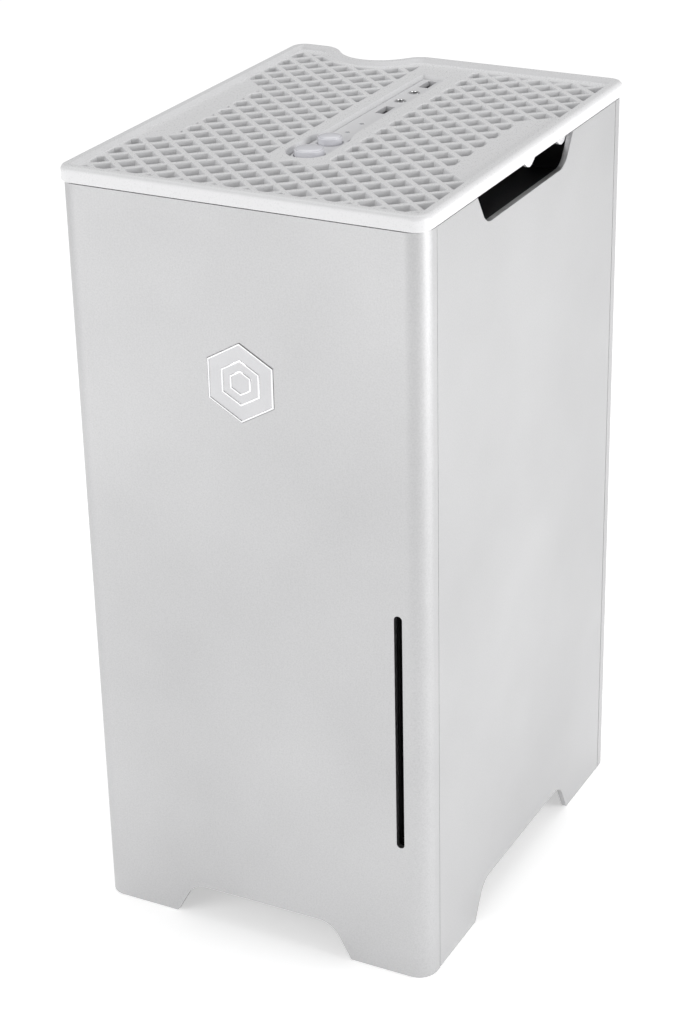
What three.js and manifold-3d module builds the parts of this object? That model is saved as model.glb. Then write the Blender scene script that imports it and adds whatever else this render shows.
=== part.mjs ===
// A compact desktop computer tower with its board turned a quarter round, so that the ports face up
// under a lift-off lattice cover and the air goes in at the bottom and out at the top.
// Millimetres. +X is right as seen from the front, +Y is back, +Z is up.
// The origin is on the floor, under the middle of the tower.

import * as THREE from "three";
import { mergeVertices } from "three/addons/utils/BufferGeometryUtils.js";
import Module from "manifold-3d";

const wasm = await Module();
wasm.setup();

// ---------------------------------------------------------------- driving dimensions

// Overall
const WIDTH = 188;
const DEPTH = 238;
const HEIGHT = 397;

// Outer skins
const COVER_OVERHANG = 0.5; // the cover's edge past the skins, each side
const COVER_RISE = 7.8; // from the skins' top edge to the top of the cover's rim
const COVER_GAP = 0.5; // shadow gap under the cover
const PAD_PROUD = 0.6; // the rubber pads past the skins' lower edge
const SKIN = 3; // aluminium thickness
const CORNER_RADIUS = 10;
const CORNER_RETURN = 13; // how far the front and rear skins wrap round the sides
const SEAM = 0.5; // gap between a wrapped skin and a side skin
const FIT = 0.4; // gap between pieces that are fitted together

// Foot cut-outs
const FOOT_CUT_HEIGHT = 19.1;
const FOOT_CUT_SLOPE = THREE.MathUtils.degToRad(61);
const FOOT_CUT_FILLET = 12;
const FRONT_LEG = 43; // width of each leg on the front and rear skins
const SIDE_LEG_FRONT = 56.2; // front leg of a side skin, from the front face
const SIDE_LEG_REAR = 58.8; // rear leg of a side skin, from the rear face

// Hand grips in the side skins
const GRIP_LENGTH = 111.5; // along the top edge
const GRIP_HEIGHT = 15.2;
const GRIP_Y = -6.7;
const GRIP_SLOPE = THREE.MathUtils.degToRad(58);
const GRIP_FILLET = 10;
const CUP_DEPTH = 24; // how far a hand reaches in
const CUP_FLOOR_DROP = 5; // cup floor below the grip's lower edge
const CUP_WALL = 1.6;
const CUP_END_RADIUS = 9;

// Disc slot and badge on the front skin
const SLOT_WIDTH = 4.2;
const SLOT_LENGTH = 127;
const SLOT_INSET = 14.7; // slot centre in from the right face
const SLOT_FOOT = 74.3; // lower end of the slot above the skin's lower edge
const BADGE_FLATS = 35;
const BADGE_Z = 305;
const BADGE_THICKNESS = 1.2;
const BADGE_PROUD = 0.4;

// Top cover
const COVER_CORNER = 8;
const COVER_EDGE = 2.4; // rounding of the cover's outer top edge
const COVER_SHELL = 2.5; // moulded wall
const RIM_WIDTH = 5;
const RIM_SLOPE = 1.4; // run of the rim's inner slope
const RIM_HEIGHT = 2; // rim above the lattice plane
const LATTICE_PITCH_X = 17;
const LATTICE_PITCH_Y = 15.2;
const LATTICE_RIB = 3.2;
const LATTICE_DEPTH = 8;
const LATTICE_ROW_Y = -104.3; // first row of openings
const LATTICE_COLUMN_X = 0.9; // an opening's centre in that column
const LATTICE_MARGIN_SIDE = 8;
const LATTICE_MARGIN_FRONT = 7;
const LATTICE_MARGIN_REAR = 13.3;
const LATTICE_MARGIN_NOTCH = 11.3;
const LATTICE_CORNER = 4;
const STRIP_HALF_WIDTH = 16.6; // solid strip round the port channel
const STRIP_FRONT_Y = -62.5;
const PAD_PLATE_DEPTH = 15.5; // solid patches beside the lattice, over the grips
const PAD_PLATE_FRONT_Y = -45;
const PAD_PLATE_REAR_Y = 32;
const NOTCH_DEPTH = 15.5; // cable notch in the rear edge
const NOTCH_HALF_WIDTH = 30;
const NOTCH_X = -45.5;
const NOTCH_INNER_RADIUS = 24;
const TAB_DROP = 6; // snap tabs below the cover's skirt
const TAB_LENGTH = 24;
const TAB_THICKNESS = 1.6;
const TAB_Y = [4, 43];

// Port channel in the cover
const CHANNEL_HALF_WIDTH = 7.9;
const CHANNEL_DEPTH = 2.2; // channel floor below the lattice plane
const CHANNEL_SLOPE = 1;
const CHANNEL_FRONT_Y = -58;
const CHANNEL_REAR_Y = 93;
const BUTTON_POCKET_HALF_WIDTH = 10.6;
const BUTTON_POCKET_REAR_Y = -19;
const BUTTON_POCKET_GAP = 1.3; // shadow gap round the bezel
const BEZEL_THICKNESS = 2.4;
const BEZEL_WALL = 1;

// Ports and buttons
const USB_Y = [83.4, 33.9];
const USB_MOUTH = [5.1, 12.5];
const USB_SHELL = 0.4;
const USB_LENGTH = 13.6;
const JACK_Y = [67, 51];
const JACK_RADIUS = 2.9;
const JACK_BORE = 1.8;
const LED_Y = [8.3, -6.8];
const LED_RADIUS = 0.8;
const POWER_BUTTON = { y: -46, radius: 7.2 };
const RESET_BUTTON = { y: -25, radius: 6 };
const BUTTON_RIM_RISE = 2.6; // button rim above the channel floor
const BUTTON_DOME = 1;
const BUTTON_WALL = 1.2;
const BUTTON_EAR = 0.5; // catches under the bezel
const BUTTON_EAR_WIDTH = 4;
const BUTTON_WELL = 3; // clearance cut into the bezel below its face
const BUTTON_TRAVEL = 1.2;
const BOARD_THICKNESS = 1.6;
const SWITCH_BODY = 6.2;
const SWITCH_HEIGHT = 5;
const PLUNGER_RADIUS = 1.7;

// Steel chassis
const STEEL = 1.2;
const SKIN_STANDOFF = 1.5; // chassis behind the skins
const FLANGE = 12;
const FOLD_RADIUS = 5.2; // outside of a fold in the steel
const FLOOR_Z = 20.4; // underside of the floor plate
const DECK_DROP = 66; // top of the deck below the skins' top edge, so plugs fit under the grips
const CHASSIS_DROP = 1; // top of the chassis below the lattice
const BOSS_RADIUS = 4; // pressed bosses that carry the board
const BOSS_INSET = 10; // boss centre in from the board's edges

// Feet
const FOOT_SIZE = 28;
const FOOT_RADIUS = 5;
const PAD_RADIUS = 12;
const PAD_HEIGHT = 3;

// Fans and dust filter
const FAN_SIZE = 140;
const FAN_THICKNESS = 25;
const FAN_HOLE_LIP = 4; // the floor's edge inside the fan's outline
const FAN_BLADES = 9;
const FAN_CLEARANCE = 1.5; // blade tips to the frame
const FAN_FRAME_WALL = 3;
const FAN_HUB_SHARE = 0.16; // hub radius as a share of the fan's size
const FAN_ROTOR_DROP = 2.5; // rotor below the frame's front
const MOTOR_THICKNESS = 3; // stator plate on the struts
const STRUT_WIDTH = 3;
const BLADE_PITCH = THREE.MathUtils.degToRad(32);
const BLADE_THICKNESS = 1.2;
const BLADE_ROOT = 2; // blade's root inside the hub
const BLADE_OVERLAP = 1.15; // blade chord as a share of the hub's arc per blade
const FILTER_THICKNESS = 3;
const FILTER_RADIUS = 4;
const FILTER_CELLS = 5;
const FILTER_FRAME = 6;
const FILTER_BAR = 2;

// Board and cards, standard sizes
const ITX = 170;
const BOARD_REAR_GAP = 2.4;
const STANDOFF = 6.4;
const IO_SHIELD = [44.4, 158.8];
const SHIELD_THICKNESS = 0.8;
const SHIELD_LIP = 2;
const SHIELD_START = 9; // the shield's front edge past the board's
const PORT_RISE = 2; // port blocks above the deck
const PORT_BLOCK_DROP = 20; // port blocks below the board's upper edge
const PORT_MOUTH_DEPTH = 9;
const PORT_BLOCKS = {
  network_ports: { from: 100, to: 118, depth: 30, mouths: [[2, 7.1], [8.6, 13.7], [16.2, 28]], across: 13 },
  display_port: { from: 62, to: 84, depth: 12, mouths: [[3, 9]], across: 16 },
  audio_ports: { from: 126, to: 152, depth: 14, sockets: [4, 13, 22] },
};
const AUDIO_BORE = 1.8;
const PROCESSOR = 37.5;
const PROCESSOR_HEIGHT = 5;
const COOLER = 92;
const COOLER_HEIGHT = 38;
const COOLER_BASE = 6;
const COOLER_FINS = 14;
const COOLER_FIN = 1.2;
const COOLER_SHIFT = 4; // cooler's centre behind the board's
const COOLER_DROP = 98; // cooler's centre below the board's upper edge
const COOLER_FAN_THICKNESS = 25;
const COOLER_FAN_BLADES = 7;
const MEMORY = [4, 133, 30];
const MEMORY_PITCH = 9.5;
const MEMORY_INSET = [10, 12]; // from the board's rear and lower edges

// Graphics card
const CARD_LENGTH = 190;
const CARD_HEIGHT = 111;
const CARD_GAP = 2; // card in front of the board and below the deck
const CARD_LIFT = 6; // card's edge off the board's face
const CARD_COOLER_THICKNESS = 34;
const COOLER_MARGIN = 4; // shroud in from the card's edges
const CARD_FAN = 84;
const CARD_FAN_BLADES = 9;
const WELL_DEPTH = 16; // fan wells in the card's shroud and the supply
const WELL_ROTOR_GAP = 2; // rotor from either end of its well
const CARD_BRACKET = [118, 40.6, 0.9];
const BRACKET_OFFSET = [4, 3]; // bracket's left and rear edges past the card's
const BRACKET_SLITS = 8;
const BRACKET_SLIT = [3, 11];
const BRACKET_SLIT_START = [50, 5]; // from the bracket's left and rear edges
const BRACKET_SLIT_PITCH = 7;
const BRACKET_LEDGE = 4; // deck left under the bracket's edges

// Mains inlet and power supply
const INLET = [48, 26, 22];
const INLET_MOUTH = [24, 17];
const INLET_PLACE = [40, 84];
const INLET_EAR = 9;
const INLET_EAR_INSET = 2;
const INLET_RISE = 3; // flange above the deck
const INLET_WALL = 2;
const INLET_FLOOR = 3;
const INLET_BLADE = [2, 4];
const INLET_BLADES = [[-7, -2], [0, 3], [7, -2]];
const INLET_BLADE_DROP = 4; // blades below the flange
const SUPPLY = [125, 63.5, 100];
const SUPPLY_FOOT = 62;
const SUPPLY_FAN = 80;
const SUPPLY_FAN_BLADES = 7;
const ROCKER = [14, 9];
const ROCKER_POCKET = 5;
const ROCKER_END_GAP = 1;
const ROCKER_PIVOT_DROP = 0.5;
const ROCKER_X = -36;
const LEAD_RADIUS = 3.4;
const LEAD_GAP = 0.3;
const LEAD_DROP = 25; // straight run at each end of the lead
const LEAD_SHIFT = 14; // the lead's lower end left of the inlet

// Drives
const SLIM_DRIVE = [12.7, 126, 128];
const SLIM_MOUTH_DEPTH = 12;
const SLIM_MOUTH_EXTRA = 0.4;
const SLIM_MOUTH_END = 2; // the mouth short of the slot's ends
const SLIM_BRACKET_HALF = 40;
const SLIM_BRACKET_EXTRA = 10; // bracket past the drive
const BIG_DRIVE = [26.1, 101.6, 146];
const BIG_DRIVE_DROP = 4; // below the deck
const SMALL_DRIVE = [7, 69.9, 100];
const SMALL_DRIVE_DROP = 12;
const DRIVE_BRACKET_SPAN = 112;
const DRIVE_BRACKET_RISE = 5; // above the disc drive
const DRIVE_BRACKET_STEP = 0.2; // bracket past the disc drive's side

// ---------------------------------------------------------------- worked-out places

const halfX = WIDTH / 2 - COVER_OVERHANG; // outer face of a side skin
const halfY = DEPTH / 2 - COVER_OVERHANG; // outer face of the front and rear skins
const skinFoot = PAD_PROUD;
const skinTop = HEIGHT - COVER_RISE;
const seamY = halfY - CORNER_RETURN; // end of a wrapped skin
const coverFoot = skinTop + COVER_GAP;
const latticeTop = HEIGHT - RIM_HEIGHT;
const latticeFoot = latticeTop - LATTICE_DEPTH;
const channelFloor = latticeTop - CHANNEL_DEPTH;
const frameX = halfX - SKIN - SKIN_STANDOFF; // outer face of the chassis, sides
const frameY = halfY - SKIN - SKIN_STANDOFF; // outer face of the chassis, front and rear
const frameTop = latticeFoot - CHASSIS_DROP;
const deckTop = skinTop - DECK_DROP;
const slotX = halfX - SLOT_INSET;
const slotZ = skinFoot + SLOT_FOOT + SLOT_LENGTH / 2;
const badgeZ = skinFoot + BADGE_Z;
const cupFloor = skinTop - GRIP_HEIGHT - CUP_FLOOR_DROP;
const notchSeat = DEPTH / 2 - NOTCH_DEPTH + NOTCH_INNER_RADIUS; // centre of the notch's bow
const bezelUnderside = channelFloor - BEZEL_THICKNESS;
const portBoardTop = bezelUnderside - FIT - USB_LENGTH - FIT;
const trayTop = portBoardTop - BOARD_THICKNESS - FIT;
const cupOuterX = halfX - SKIN - FIT;
const cupTop = coverFoot - TAB_DROP - FIT;
const floorTop = FLOOR_Z + STEEL;
const deckFoot = deckTop - STEEL;
const plateX = frameX - STEEL - FIT; // sides of the plates that sit inside the flanges
const plateY = frameY - STEEL - FIT;
const boardX = -plateX + STEEL + STANDOFF; // solder side of the main board
const boardFace = boardX + BOARD_THICKNESS;
const boardTop = deckFoot - 1;
const boardRear = plateY - BOARD_REAR_GAP;
const boardFront = boardRear - ITX;

// ---------------------------------------------------------------- materials

const finish = (color, roughness, metalness) =>
  new THREE.MeshStandardMaterial({ color, roughness, metalness });
const anodised = finish(0xd4d5d7, 0.38, 0.9);
const whitePlastic = finish(0xeeeeef, 0.28, 0);
const milkyPlastic = finish(0xe4e4ea, 0.12, 0);
const blackSteel = finish(0x161617, 0.5, 0.4);
const blackPlastic = finish(0x1b1b1d, 0.45, 0);
const blackRubber = finish(0x121212, 0.85, 0);
const greenBoard = finish(0x1d4a33, 0.5, 0);
const plainSteel = finish(0xb4b6b9, 0.35, 0.95);
const bareAluminium = finish(0xc9cbce, 0.32, 0.95);
const polished = finish(0xf0f0f2, 0.12, 1);
const lightPipe = finish(0xc7d3de, 0.2, 0);

// ---------------------------------------------------------------- shape helpers

// A closed three.js geometry as a solid that can be joined and cut.
function solid(geometry) {
  const bare = geometry.clone();
  bare.deleteAttribute("normal");
  bare.deleteAttribute("uv");
  const merged = mergeVertices(bare, 1e-4);
  return new wasm.Manifold(
    new wasm.Mesh({
      numProp: 3,
      vertProperties: new Float32Array(merged.attributes.position.array),
      triVerts: new Uint32Array(merged.index.array),
    }),
  );
}

function geometryOf(manifold) {
  const { vertProperties, triVerts } = manifold.getMesh();
  const indexed = new THREE.BufferGeometry();
  indexed.setAttribute("position", new THREE.BufferAttribute(vertProperties, 3));
  indexed.setIndex(new THREE.BufferAttribute(triVerts, 1));
  const geometry = indexed.toNonIndexed();
  geometry.computeVertexNormals();
  return geometry;
}

// The first geometry with the others cut out of it.
function cut(body, ...tools) {
  return geometryOf(tools.reduce((rest, tool) => rest.subtract(solid(tool)), solid(body)));
}

// Geometries that meet or overlap, joined into one body.
function join(first, ...others) {
  return geometryOf(others.reduce((sum, other) => sum.add(solid(other)), solid(first)));
}

// A block between two corners.
function block([x0, y0, z0], [x1, y1, z1]) {
  return new THREE.BoxGeometry(x1 - x0, y1 - y0, z1 - z0).translate(
    (x0 + x1) / 2,
    (y0 + y1) / 2,
    (z0 + z1) / 2,
  );
}

// Points along an arc, from one angle to another, in radians.
function arc(cx, cy, radius, from, to, steps) {
  return Array.from({ length: steps + 1 }, (_, i) => {
    const angle = from + ((to - from) * i) / steps;
    return new THREE.Vector2(cx + radius * Math.cos(angle), cy + radius * Math.sin(angle));
  });
}

// An outline through corners [u, v, fillet radius], each fillet drawn as an arc.
function rounded(corners, steps = 5) {
  const points = corners.flatMap(([u, v, radius = 0], i) => {
    if (!radius) return [new THREE.Vector2(u, v)];
    const here = new THREE.Vector2(u, v);
    const before = corners[(i + corners.length - 1) % corners.length];
    const after = corners[(i + 1) % corners.length];
    const back = new THREE.Vector2(before[0], before[1]).sub(here).normalize();
    const ahead = new THREE.Vector2(after[0], after[1]).sub(here).normalize();
    const halfAngle = Math.acos(THREE.MathUtils.clamp(back.dot(ahead), -1, 1)) / 2;
    const middle = back.clone().add(ahead).normalize();
    const centre = here.clone().addScaledVector(middle, radius / Math.sin(halfAngle));
    const start = here.clone().addScaledVector(back, radius / Math.tan(halfAngle)).sub(centre);
    const end = here.clone().addScaledVector(ahead, radius / Math.tan(halfAngle)).sub(centre);
    const turn = Math.atan2(start.cross(end), start.dot(end));
    return arc(centre.x, centre.y, radius, start.angle(), start.angle() + turn, steps);
  });
  return new THREE.Shape(points);
}

function rectangle(u0, v0, u1, v1, radius = 0, steps = 4) {
  return rounded([[u0, v0, radius], [u1, v0, radius], [u1, v1, radius], [u0, v1, radius]], steps);
}

// An outline drawn in (y, z), (x, z) or (x, y), pushed along the third axis from one place to another.
const axes = {
  x: [[0, 1, 0], [0, 0, 1], [1, 0, 0]],
  y: [[1, 0, 0], [0, 0, 1], [0, -1, 0]],
  z: [[1, 0, 0], [0, 1, 0], [0, 0, 1]],
};
function prism(axis, shape, from, to, bevel = {}) {
  const [u, v, w] = axes[axis].map((direction) => new THREE.Vector3(...direction));
  const start = axis === "y" ? -to : from;
  const depth = to - from;
  const settings = { depth, curveSegments: 12, bevelEnabled: false, ...bevel };
  return new THREE.ExtrudeGeometry(shape, settings)
    .translate(0, 0, start)
    .applyMatrix4(new THREE.Matrix4().makeBasis(u, v, w));
}

// An upright cylinder from one height to another.
function cylinder(radius, from, to, x = 0, y = 0, sides = 24) {
  return new THREE.CylinderGeometry(radius, radius, to - from, sides)
    .rotateX(Math.PI / 2)
    .translate(x, y, (from + to) / 2);
}

const tower = new THREE.Group();

function add(name, geometry, material, place = [0, 0, 0], parent = tower) {
  const mesh = new THREE.Mesh(geometry, material);
  mesh.name = name;
  mesh.position.set(...place);
  parent.add(mesh);
  return mesh;
}

// ---------------------------------------------------------------- outer skins

// The foot cut-out's outline, from one leg to the other, reaching below the skin.
function footCut(from, to) {
  const run = FOOT_CUT_HEIGHT / Math.tan(FOOT_CUT_SLOPE);
  const top = skinFoot + FOOT_CUT_HEIGHT;
  return rounded([
    [from - run, skinFoot - FOOT_CUT_HEIGHT],
    [to + run, skinFoot - FOOT_CUT_HEIGHT],
    [to - run, top, FOOT_CUT_FILLET],
    [from + run, top, FOOT_CUT_FILLET],
  ]);
}

// A skin that wraps round two corners. It is drawn as the front one.
function wrappedSkin() {
  const outer = CORNER_RADIUS;
  const inner = CORNER_RADIUS - SKIN;
  const outline = [
    [-halfX, -seamY],
    [-halfX, -halfY, outer],
    [halfX, -halfY, outer],
    [halfX, -seamY],
    [halfX - SKIN, -seamY],
    [halfX - SKIN, -halfY + SKIN, inner],
    [-halfX + SKIN, -halfY + SKIN, inner],
    [-halfX + SKIN, -seamY],
  ];
  const wrap = prism("z", rounded(outline, 8), skinFoot, skinTop);
  const legX = halfX - FRONT_LEG;
  return cut(wrap, prism("y", footCut(-legX, legX), -halfY - 1, -halfY + SKIN + 1));
}

function hexagon(flats) {
  const radius = flats / Math.sqrt(3);
  return new THREE.Shape(arc(0, 0, radius, Math.PI / 2, Math.PI / 2 - 2 * Math.PI, 6).slice(0, 6));
}

function slotShape(margin) {
  const half = SLOT_WIDTH / 2 + margin;
  const reach = SLOT_LENGTH / 2 + margin;
  return rectangle(slotX - half, slotZ - reach, slotX + half, slotZ + reach, half - 0.01, 6);
}

const badgeSeat = prism("y", hexagon(BADGE_FLATS + 2 * FIT), -1, BADGE_THICKNESS - BADGE_PROUD)
  .translate(0, -halfY, badgeZ);
const slotHole = prism("y", slotShape(0), -halfY - 1, -halfY + SKIN + 1);
add("front_panel", cut(wrappedSkin(), badgeSeat, slotHole), anodised);
add("rear_panel", wrappedSkin(), anodised).rotation.z = Math.PI;

function sideSkin() {
  const end = seamY - SEAM;
  const legFront = -halfY + SIDE_LEG_FRONT;
  const legRear = halfY - SIDE_LEG_REAR;
  const footRun = FOOT_CUT_HEIGHT / Math.tan(FOOT_CUT_SLOPE);
  const footTop = skinFoot + FOOT_CUT_HEIGHT;
  const gripRun = GRIP_HEIGHT / Math.tan(GRIP_SLOPE);
  const gripFoot = skinTop - GRIP_HEIGHT;
  return rounded([
    [-end, skinFoot],
    [legFront, skinFoot],
    [legFront + footRun, footTop, FOOT_CUT_FILLET],
    [legRear - footRun, footTop, FOOT_CUT_FILLET],
    [legRear, skinFoot],
    [end, skinFoot],
    [end, skinTop],
    [GRIP_Y + GRIP_LENGTH / 2, skinTop],
    [GRIP_Y + GRIP_LENGTH / 2 - gripRun, gripFoot, GRIP_FILLET],
    [GRIP_Y - GRIP_LENGTH / 2 + gripRun, gripFoot, GRIP_FILLET],
    [GRIP_Y - GRIP_LENGTH / 2, skinTop],
    [-end, skinTop],
  ]);
}

add("right_side_panel", prism("x", sideSkin(), halfX - SKIN, halfX), anodised);
add("left_side_panel", prism("x", sideSkin(), -halfX, -halfX + SKIN), anodised);

// A plain hexagon plate in its seat.
const badgePlate = prism("y", hexagon(BADGE_FLATS), 0, BADGE_THICKNESS - FIT);
add("front_badge", badgePlate, polished, [0, -halfY - BADGE_PROUD, badgeZ]);

// ---------------------------------------------------------------- top cover

// The cover's outline drawn in by an inset, with the cable notch in its rear edge.
function coverOutline(inset) {
  const x = WIDTH / 2;
  const y = DEPTH / 2;
  const corner = COVER_CORNER;
  const reach = NOTCH_HALF_WIDTH ** 2 + NOTCH_DEPTH ** 2;
  const outerRadius = reach / (2 * NOTCH_DEPTH) - NOTCH_INNER_RADIUS;
  const swing = Math.asin(NOTCH_HALF_WIDTH / (outerRadius + NOTCH_INNER_RADIUS));
  const quarter = Math.PI / 2;
  const cornerRadius = Math.max(corner - inset, 0.5);
  const cx = x - Math.max(corner, inset + 0.5);
  const cy = y - Math.max(corner, inset + 0.5);
  const notchTop = y - outerRadius;
  const bow = NOTCH_INNER_RADIUS + inset;
  return new THREE.Shape([
    ...arc(-cx, -cy, cornerRadius, -2 * quarter, -quarter, 5),
    ...arc(cx, -cy, cornerRadius, -quarter, 0, 5),
    ...arc(cx, cy, cornerRadius, 0, quarter, 5),
    ...arc(NOTCH_X + NOTCH_HALF_WIDTH, notchTop, outerRadius - inset, quarter, quarter + swing, 4),
    ...arc(NOTCH_X, notchSeat, bow, -quarter + swing, -quarter - swing, 10).slice(1, -1),
    ...arc(NOTCH_X - NOTCH_HALF_WIDTH, notchTop, outerRadius - inset, quarter - swing, quarter, 4),
    ...arc(-cx, cy, cornerRadius, quarter, 2 * quarter, 5),
  ]);
}

// The channel's outline: a long slot whose front end widens into a pocket for the buttons.
function channelOutline(inset) {
  const narrow = CHANNEL_HALF_WIDTH - inset;
  const wide = BUTTON_POCKET_HALF_WIDTH - inset;
  const shoulder = BUTTON_POCKET_REAR_Y - inset;
  const front = CHANNEL_FRONT_Y + BUTTON_POCKET_HALF_WIDTH;
  const step = wide - narrow;
  return new THREE.Shape([
    ...arc(0, front, wide, -Math.PI, 0, 12),
    new THREE.Vector2(wide, shoulder - 2 * step),
    new THREE.Vector2(narrow, shoulder + 2 * step),
    new THREE.Vector2(narrow, CHANNEL_REAR_Y - inset),
    new THREE.Vector2(-narrow, CHANNEL_REAR_Y - inset),
    new THREE.Vector2(-narrow, shoulder + 2 * step),
    new THREE.Vector2(-wide, shoulder - 2 * step),
  ]);
}

// One patch beside the lattice: a trapezium whose ends follow the ribs' slant.
function sidePatch(side) {
  const outer = WIDTH / 2;
  const inner = WIDTH / 2 - LATTICE_MARGIN_SIDE - PAD_PLATE_DEPTH;
  const rise = ((outer - inner) * LATTICE_PITCH_Y) / LATTICE_PITCH_X;
  return prism(
    "z",
    new THREE.Shape([
      new THREE.Vector2(side * inner, PAD_PLATE_FRONT_Y),
      new THREE.Vector2(side * outer, PAD_PLATE_FRONT_Y - rise),
      new THREE.Vector2(side * outer, PAD_PLATE_REAR_Y + rise),
      new THREE.Vector2(side * inner, PAD_PLATE_REAR_Y),
    ]),
    0,
    HEIGHT,
  );
}

// The part of the cover that carries the lattice, drawn in by a margin of its own.
function latticeRegion(margin, from, to) {
  const sideX = WIDTH / 2 - LATTICE_MARGIN_SIDE - margin;
  const frontY = -DEPTH / 2 + LATTICE_MARGIN_FRONT + margin;
  const rearY = DEPTH / 2 - LATTICE_MARGIN_REAR - margin;
  const strip = STRIP_HALF_WIDTH + margin;
  const stripFront = STRIP_FRONT_Y - margin;
  const stripShape = rectangle(-strip, stripFront, strip, DEPTH, STRIP_HALF_WIDTH / 2, 6);
  const field = prism("z", rectangle(-sideX, frontY, sideX, rearY, LATTICE_CORNER), from, to);
  const notchRadius = NOTCH_INNER_RADIUS + LATTICE_MARGIN_NOTCH + margin;
  const notch = cylinder(notchRadius, 0, HEIGHT, NOTCH_X, notchSeat, 48);
  return solid(field)
    .subtract(solid(notch))
    .subtract(solid(prism("z", stripShape, 0, HEIGHT)))
    .subtract(solid(sidePatch(1)))
    .subtract(solid(sidePatch(-1)));
}

// One lattice opening: a rhombus between four slanting ribs.
function latticeOpening(x, y) {
  const slant = Math.hypot(LATTICE_PITCH_X, LATTICE_PITCH_Y) / 2;
  const shrink = LATTICE_RIB / 2 / ((LATTICE_PITCH_X * LATTICE_PITCH_Y) / 4 / slant);
  const reachX = (LATTICE_PITCH_X / 2) * (1 - shrink);
  const reachY = (LATTICE_PITCH_Y / 2) * (1 - shrink);
  return prism(
    "z",
    new THREE.Shape([
      new THREE.Vector2(x - reachX, y),
      new THREE.Vector2(x, y - reachY),
      new THREE.Vector2(x + reachX, y),
      new THREE.Vector2(x, y + reachY),
    ]),
    latticeFoot - 1,
    latticeTop + 1,
  );
}

function latticeOpenings() {
  const openings = [];
  const rows = Math.ceil(DEPTH / (LATTICE_PITCH_Y / 2));
  const columns = Math.ceil(WIDTH / 2 / LATTICE_PITCH_X) + 1;
  for (let row = -1; row < rows; row += 1) {
    const y = LATTICE_ROW_Y + (row * LATTICE_PITCH_Y) / 2;
    const shift = row % 2 === 0 ? LATTICE_PITCH_X / 2 : 0;
    for (let column = -columns; column <= columns; column += 1) {
      const x = LATTICE_COLUMN_X + column * LATTICE_PITCH_X + shift;
      openings.push(solid(latticeOpening(x, y)));
    }
  }
  return wasm.Manifold.union(openings);
}

function topCover() {
  const edge = {
    bevelEnabled: true,
    bevelSize: COVER_EDGE,
    bevelThickness: COVER_EDGE,
    bevelOffset: -COVER_EDGE,
    bevelSegments: 3,
  };
  const above = prism("z", rectangle(-WIDTH, -DEPTH, WIDTH, DEPTH), coverFoot, HEIGHT + 1);
  const lump = prism("z", coverOutline(0), coverFoot - 2 * COVER_EDGE, HEIGHT - COVER_EDGE, edge);
  const rimFoot = {
    bevelEnabled: true,
    bevelSize: RIM_SLOPE,
    bevelThickness: RIM_HEIGHT,
    bevelOffset: -RIM_SLOPE,
    bevelSegments: 1,
  };
  const dish = prism("z", coverOutline(RIM_WIDTH), HEIGHT, HEIGHT + 5, rimFoot);
  const hollow = prism("z", coverOutline(COVER_SHELL), 0, latticeTop - COVER_SHELL);
  const ribBlock = latticeRegion(-COVER_SHELL, latticeFoot, latticeTop - 0.01);
  const channelTop = {
    bevelEnabled: true,
    bevelSize: CHANNEL_SLOPE,
    bevelThickness: CHANNEL_DEPTH,
    bevelOffset: -CHANNEL_SLOPE,
    bevelSegments: 1,
  };
  const channel = prism("z", channelOutline(0), latticeTop, latticeTop + 5, channelTop);
  const channelWall = prism("z", channelOutline(-COVER_SHELL), channelFloor - 1, latticeTop - 0.01);
  const window = prism("z", channelOutline(CHANNEL_SLOPE), latticeFoot, channelFloor + 0.01);
  return solid(lump)
    .intersect(solid(above))
    .subtract(solid(dish))
    .subtract(solid(hollow))
    .add(ribBlock)
    .subtract(latticeOpenings().intersect(latticeRegion(0, latticeFoot - 1, latticeTop + 1)))
    .add(solid(channelWall))
    .subtract(solid(channel))
    .subtract(solid(window));
}

// A tab under the cover's skirt that snaps behind a side skin, with a soft wave for its lower edge.
function snapTab(side, y) {
  const steps = 8;
  const wave = Array.from({ length: steps + 1 }, (_, i) => {
    const along = i / steps - 0.5;
    const drop = (TAB_DROP * (1 + Math.cos(2 * Math.PI * along))) / 2;
    return new THREE.Vector2(y + along * TAB_LENGTH, coverFoot - drop);
  });
  const root = latticeTop - COVER_SHELL + 0.5;
  const shape = new THREE.Shape([
    ...wave,
    new THREE.Vector2(y + TAB_LENGTH / 2, root),
    new THREE.Vector2(y - TAB_LENGTH / 2, root),
  ]);
  const outer = side * (halfX - SKIN - FIT);
  const inner = outer - side * TAB_THICKNESS;
  return solid(prism("x", shape, Math.min(outer, inner), Math.max(outer, inner)));
}

const tabs = [-1, 1].flatMap((side) => TAB_Y.map((y) => snapTab(side, y)));
add("top_cover", geometryOf(wasm.Manifold.union([topCover(), ...tabs])), whitePlastic);

// ---------------------------------------------------------------- ports and buttons

// The bezel's outline sits inside the cover's channel, with a wider shadow gap round the buttons.
function bezelOutline(inset) {
  const narrow = CHANNEL_HALF_WIDTH - CHANNEL_SLOPE - FIT - inset;
  const wide = BUTTON_POCKET_HALF_WIDTH - CHANNEL_SLOPE - BUTTON_POCKET_GAP - inset;
  const front = CHANNEL_FRONT_Y + BUTTON_POCKET_HALF_WIDTH;
  const shoulder = BUTTON_POCKET_REAR_Y - CHANNEL_SLOPE - BUTTON_POCKET_GAP - inset;
  const rear = CHANNEL_REAR_Y - CHANNEL_SLOPE - FIT - inset;
  return new THREE.Shape([
    ...arc(0, front, wide, -Math.PI, 0, 12),
    new THREE.Vector2(wide, shoulder - 2),
    new THREE.Vector2(narrow, shoulder + 2),
    new THREE.Vector2(narrow, rear),
    new THREE.Vector2(-narrow, rear),
    new THREE.Vector2(-narrow, shoulder + 2),
    new THREE.Vector2(-wide, shoulder - 2),
  ]);
}

const buttons = [POWER_BUTTON, RESET_BUTTON];

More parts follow.
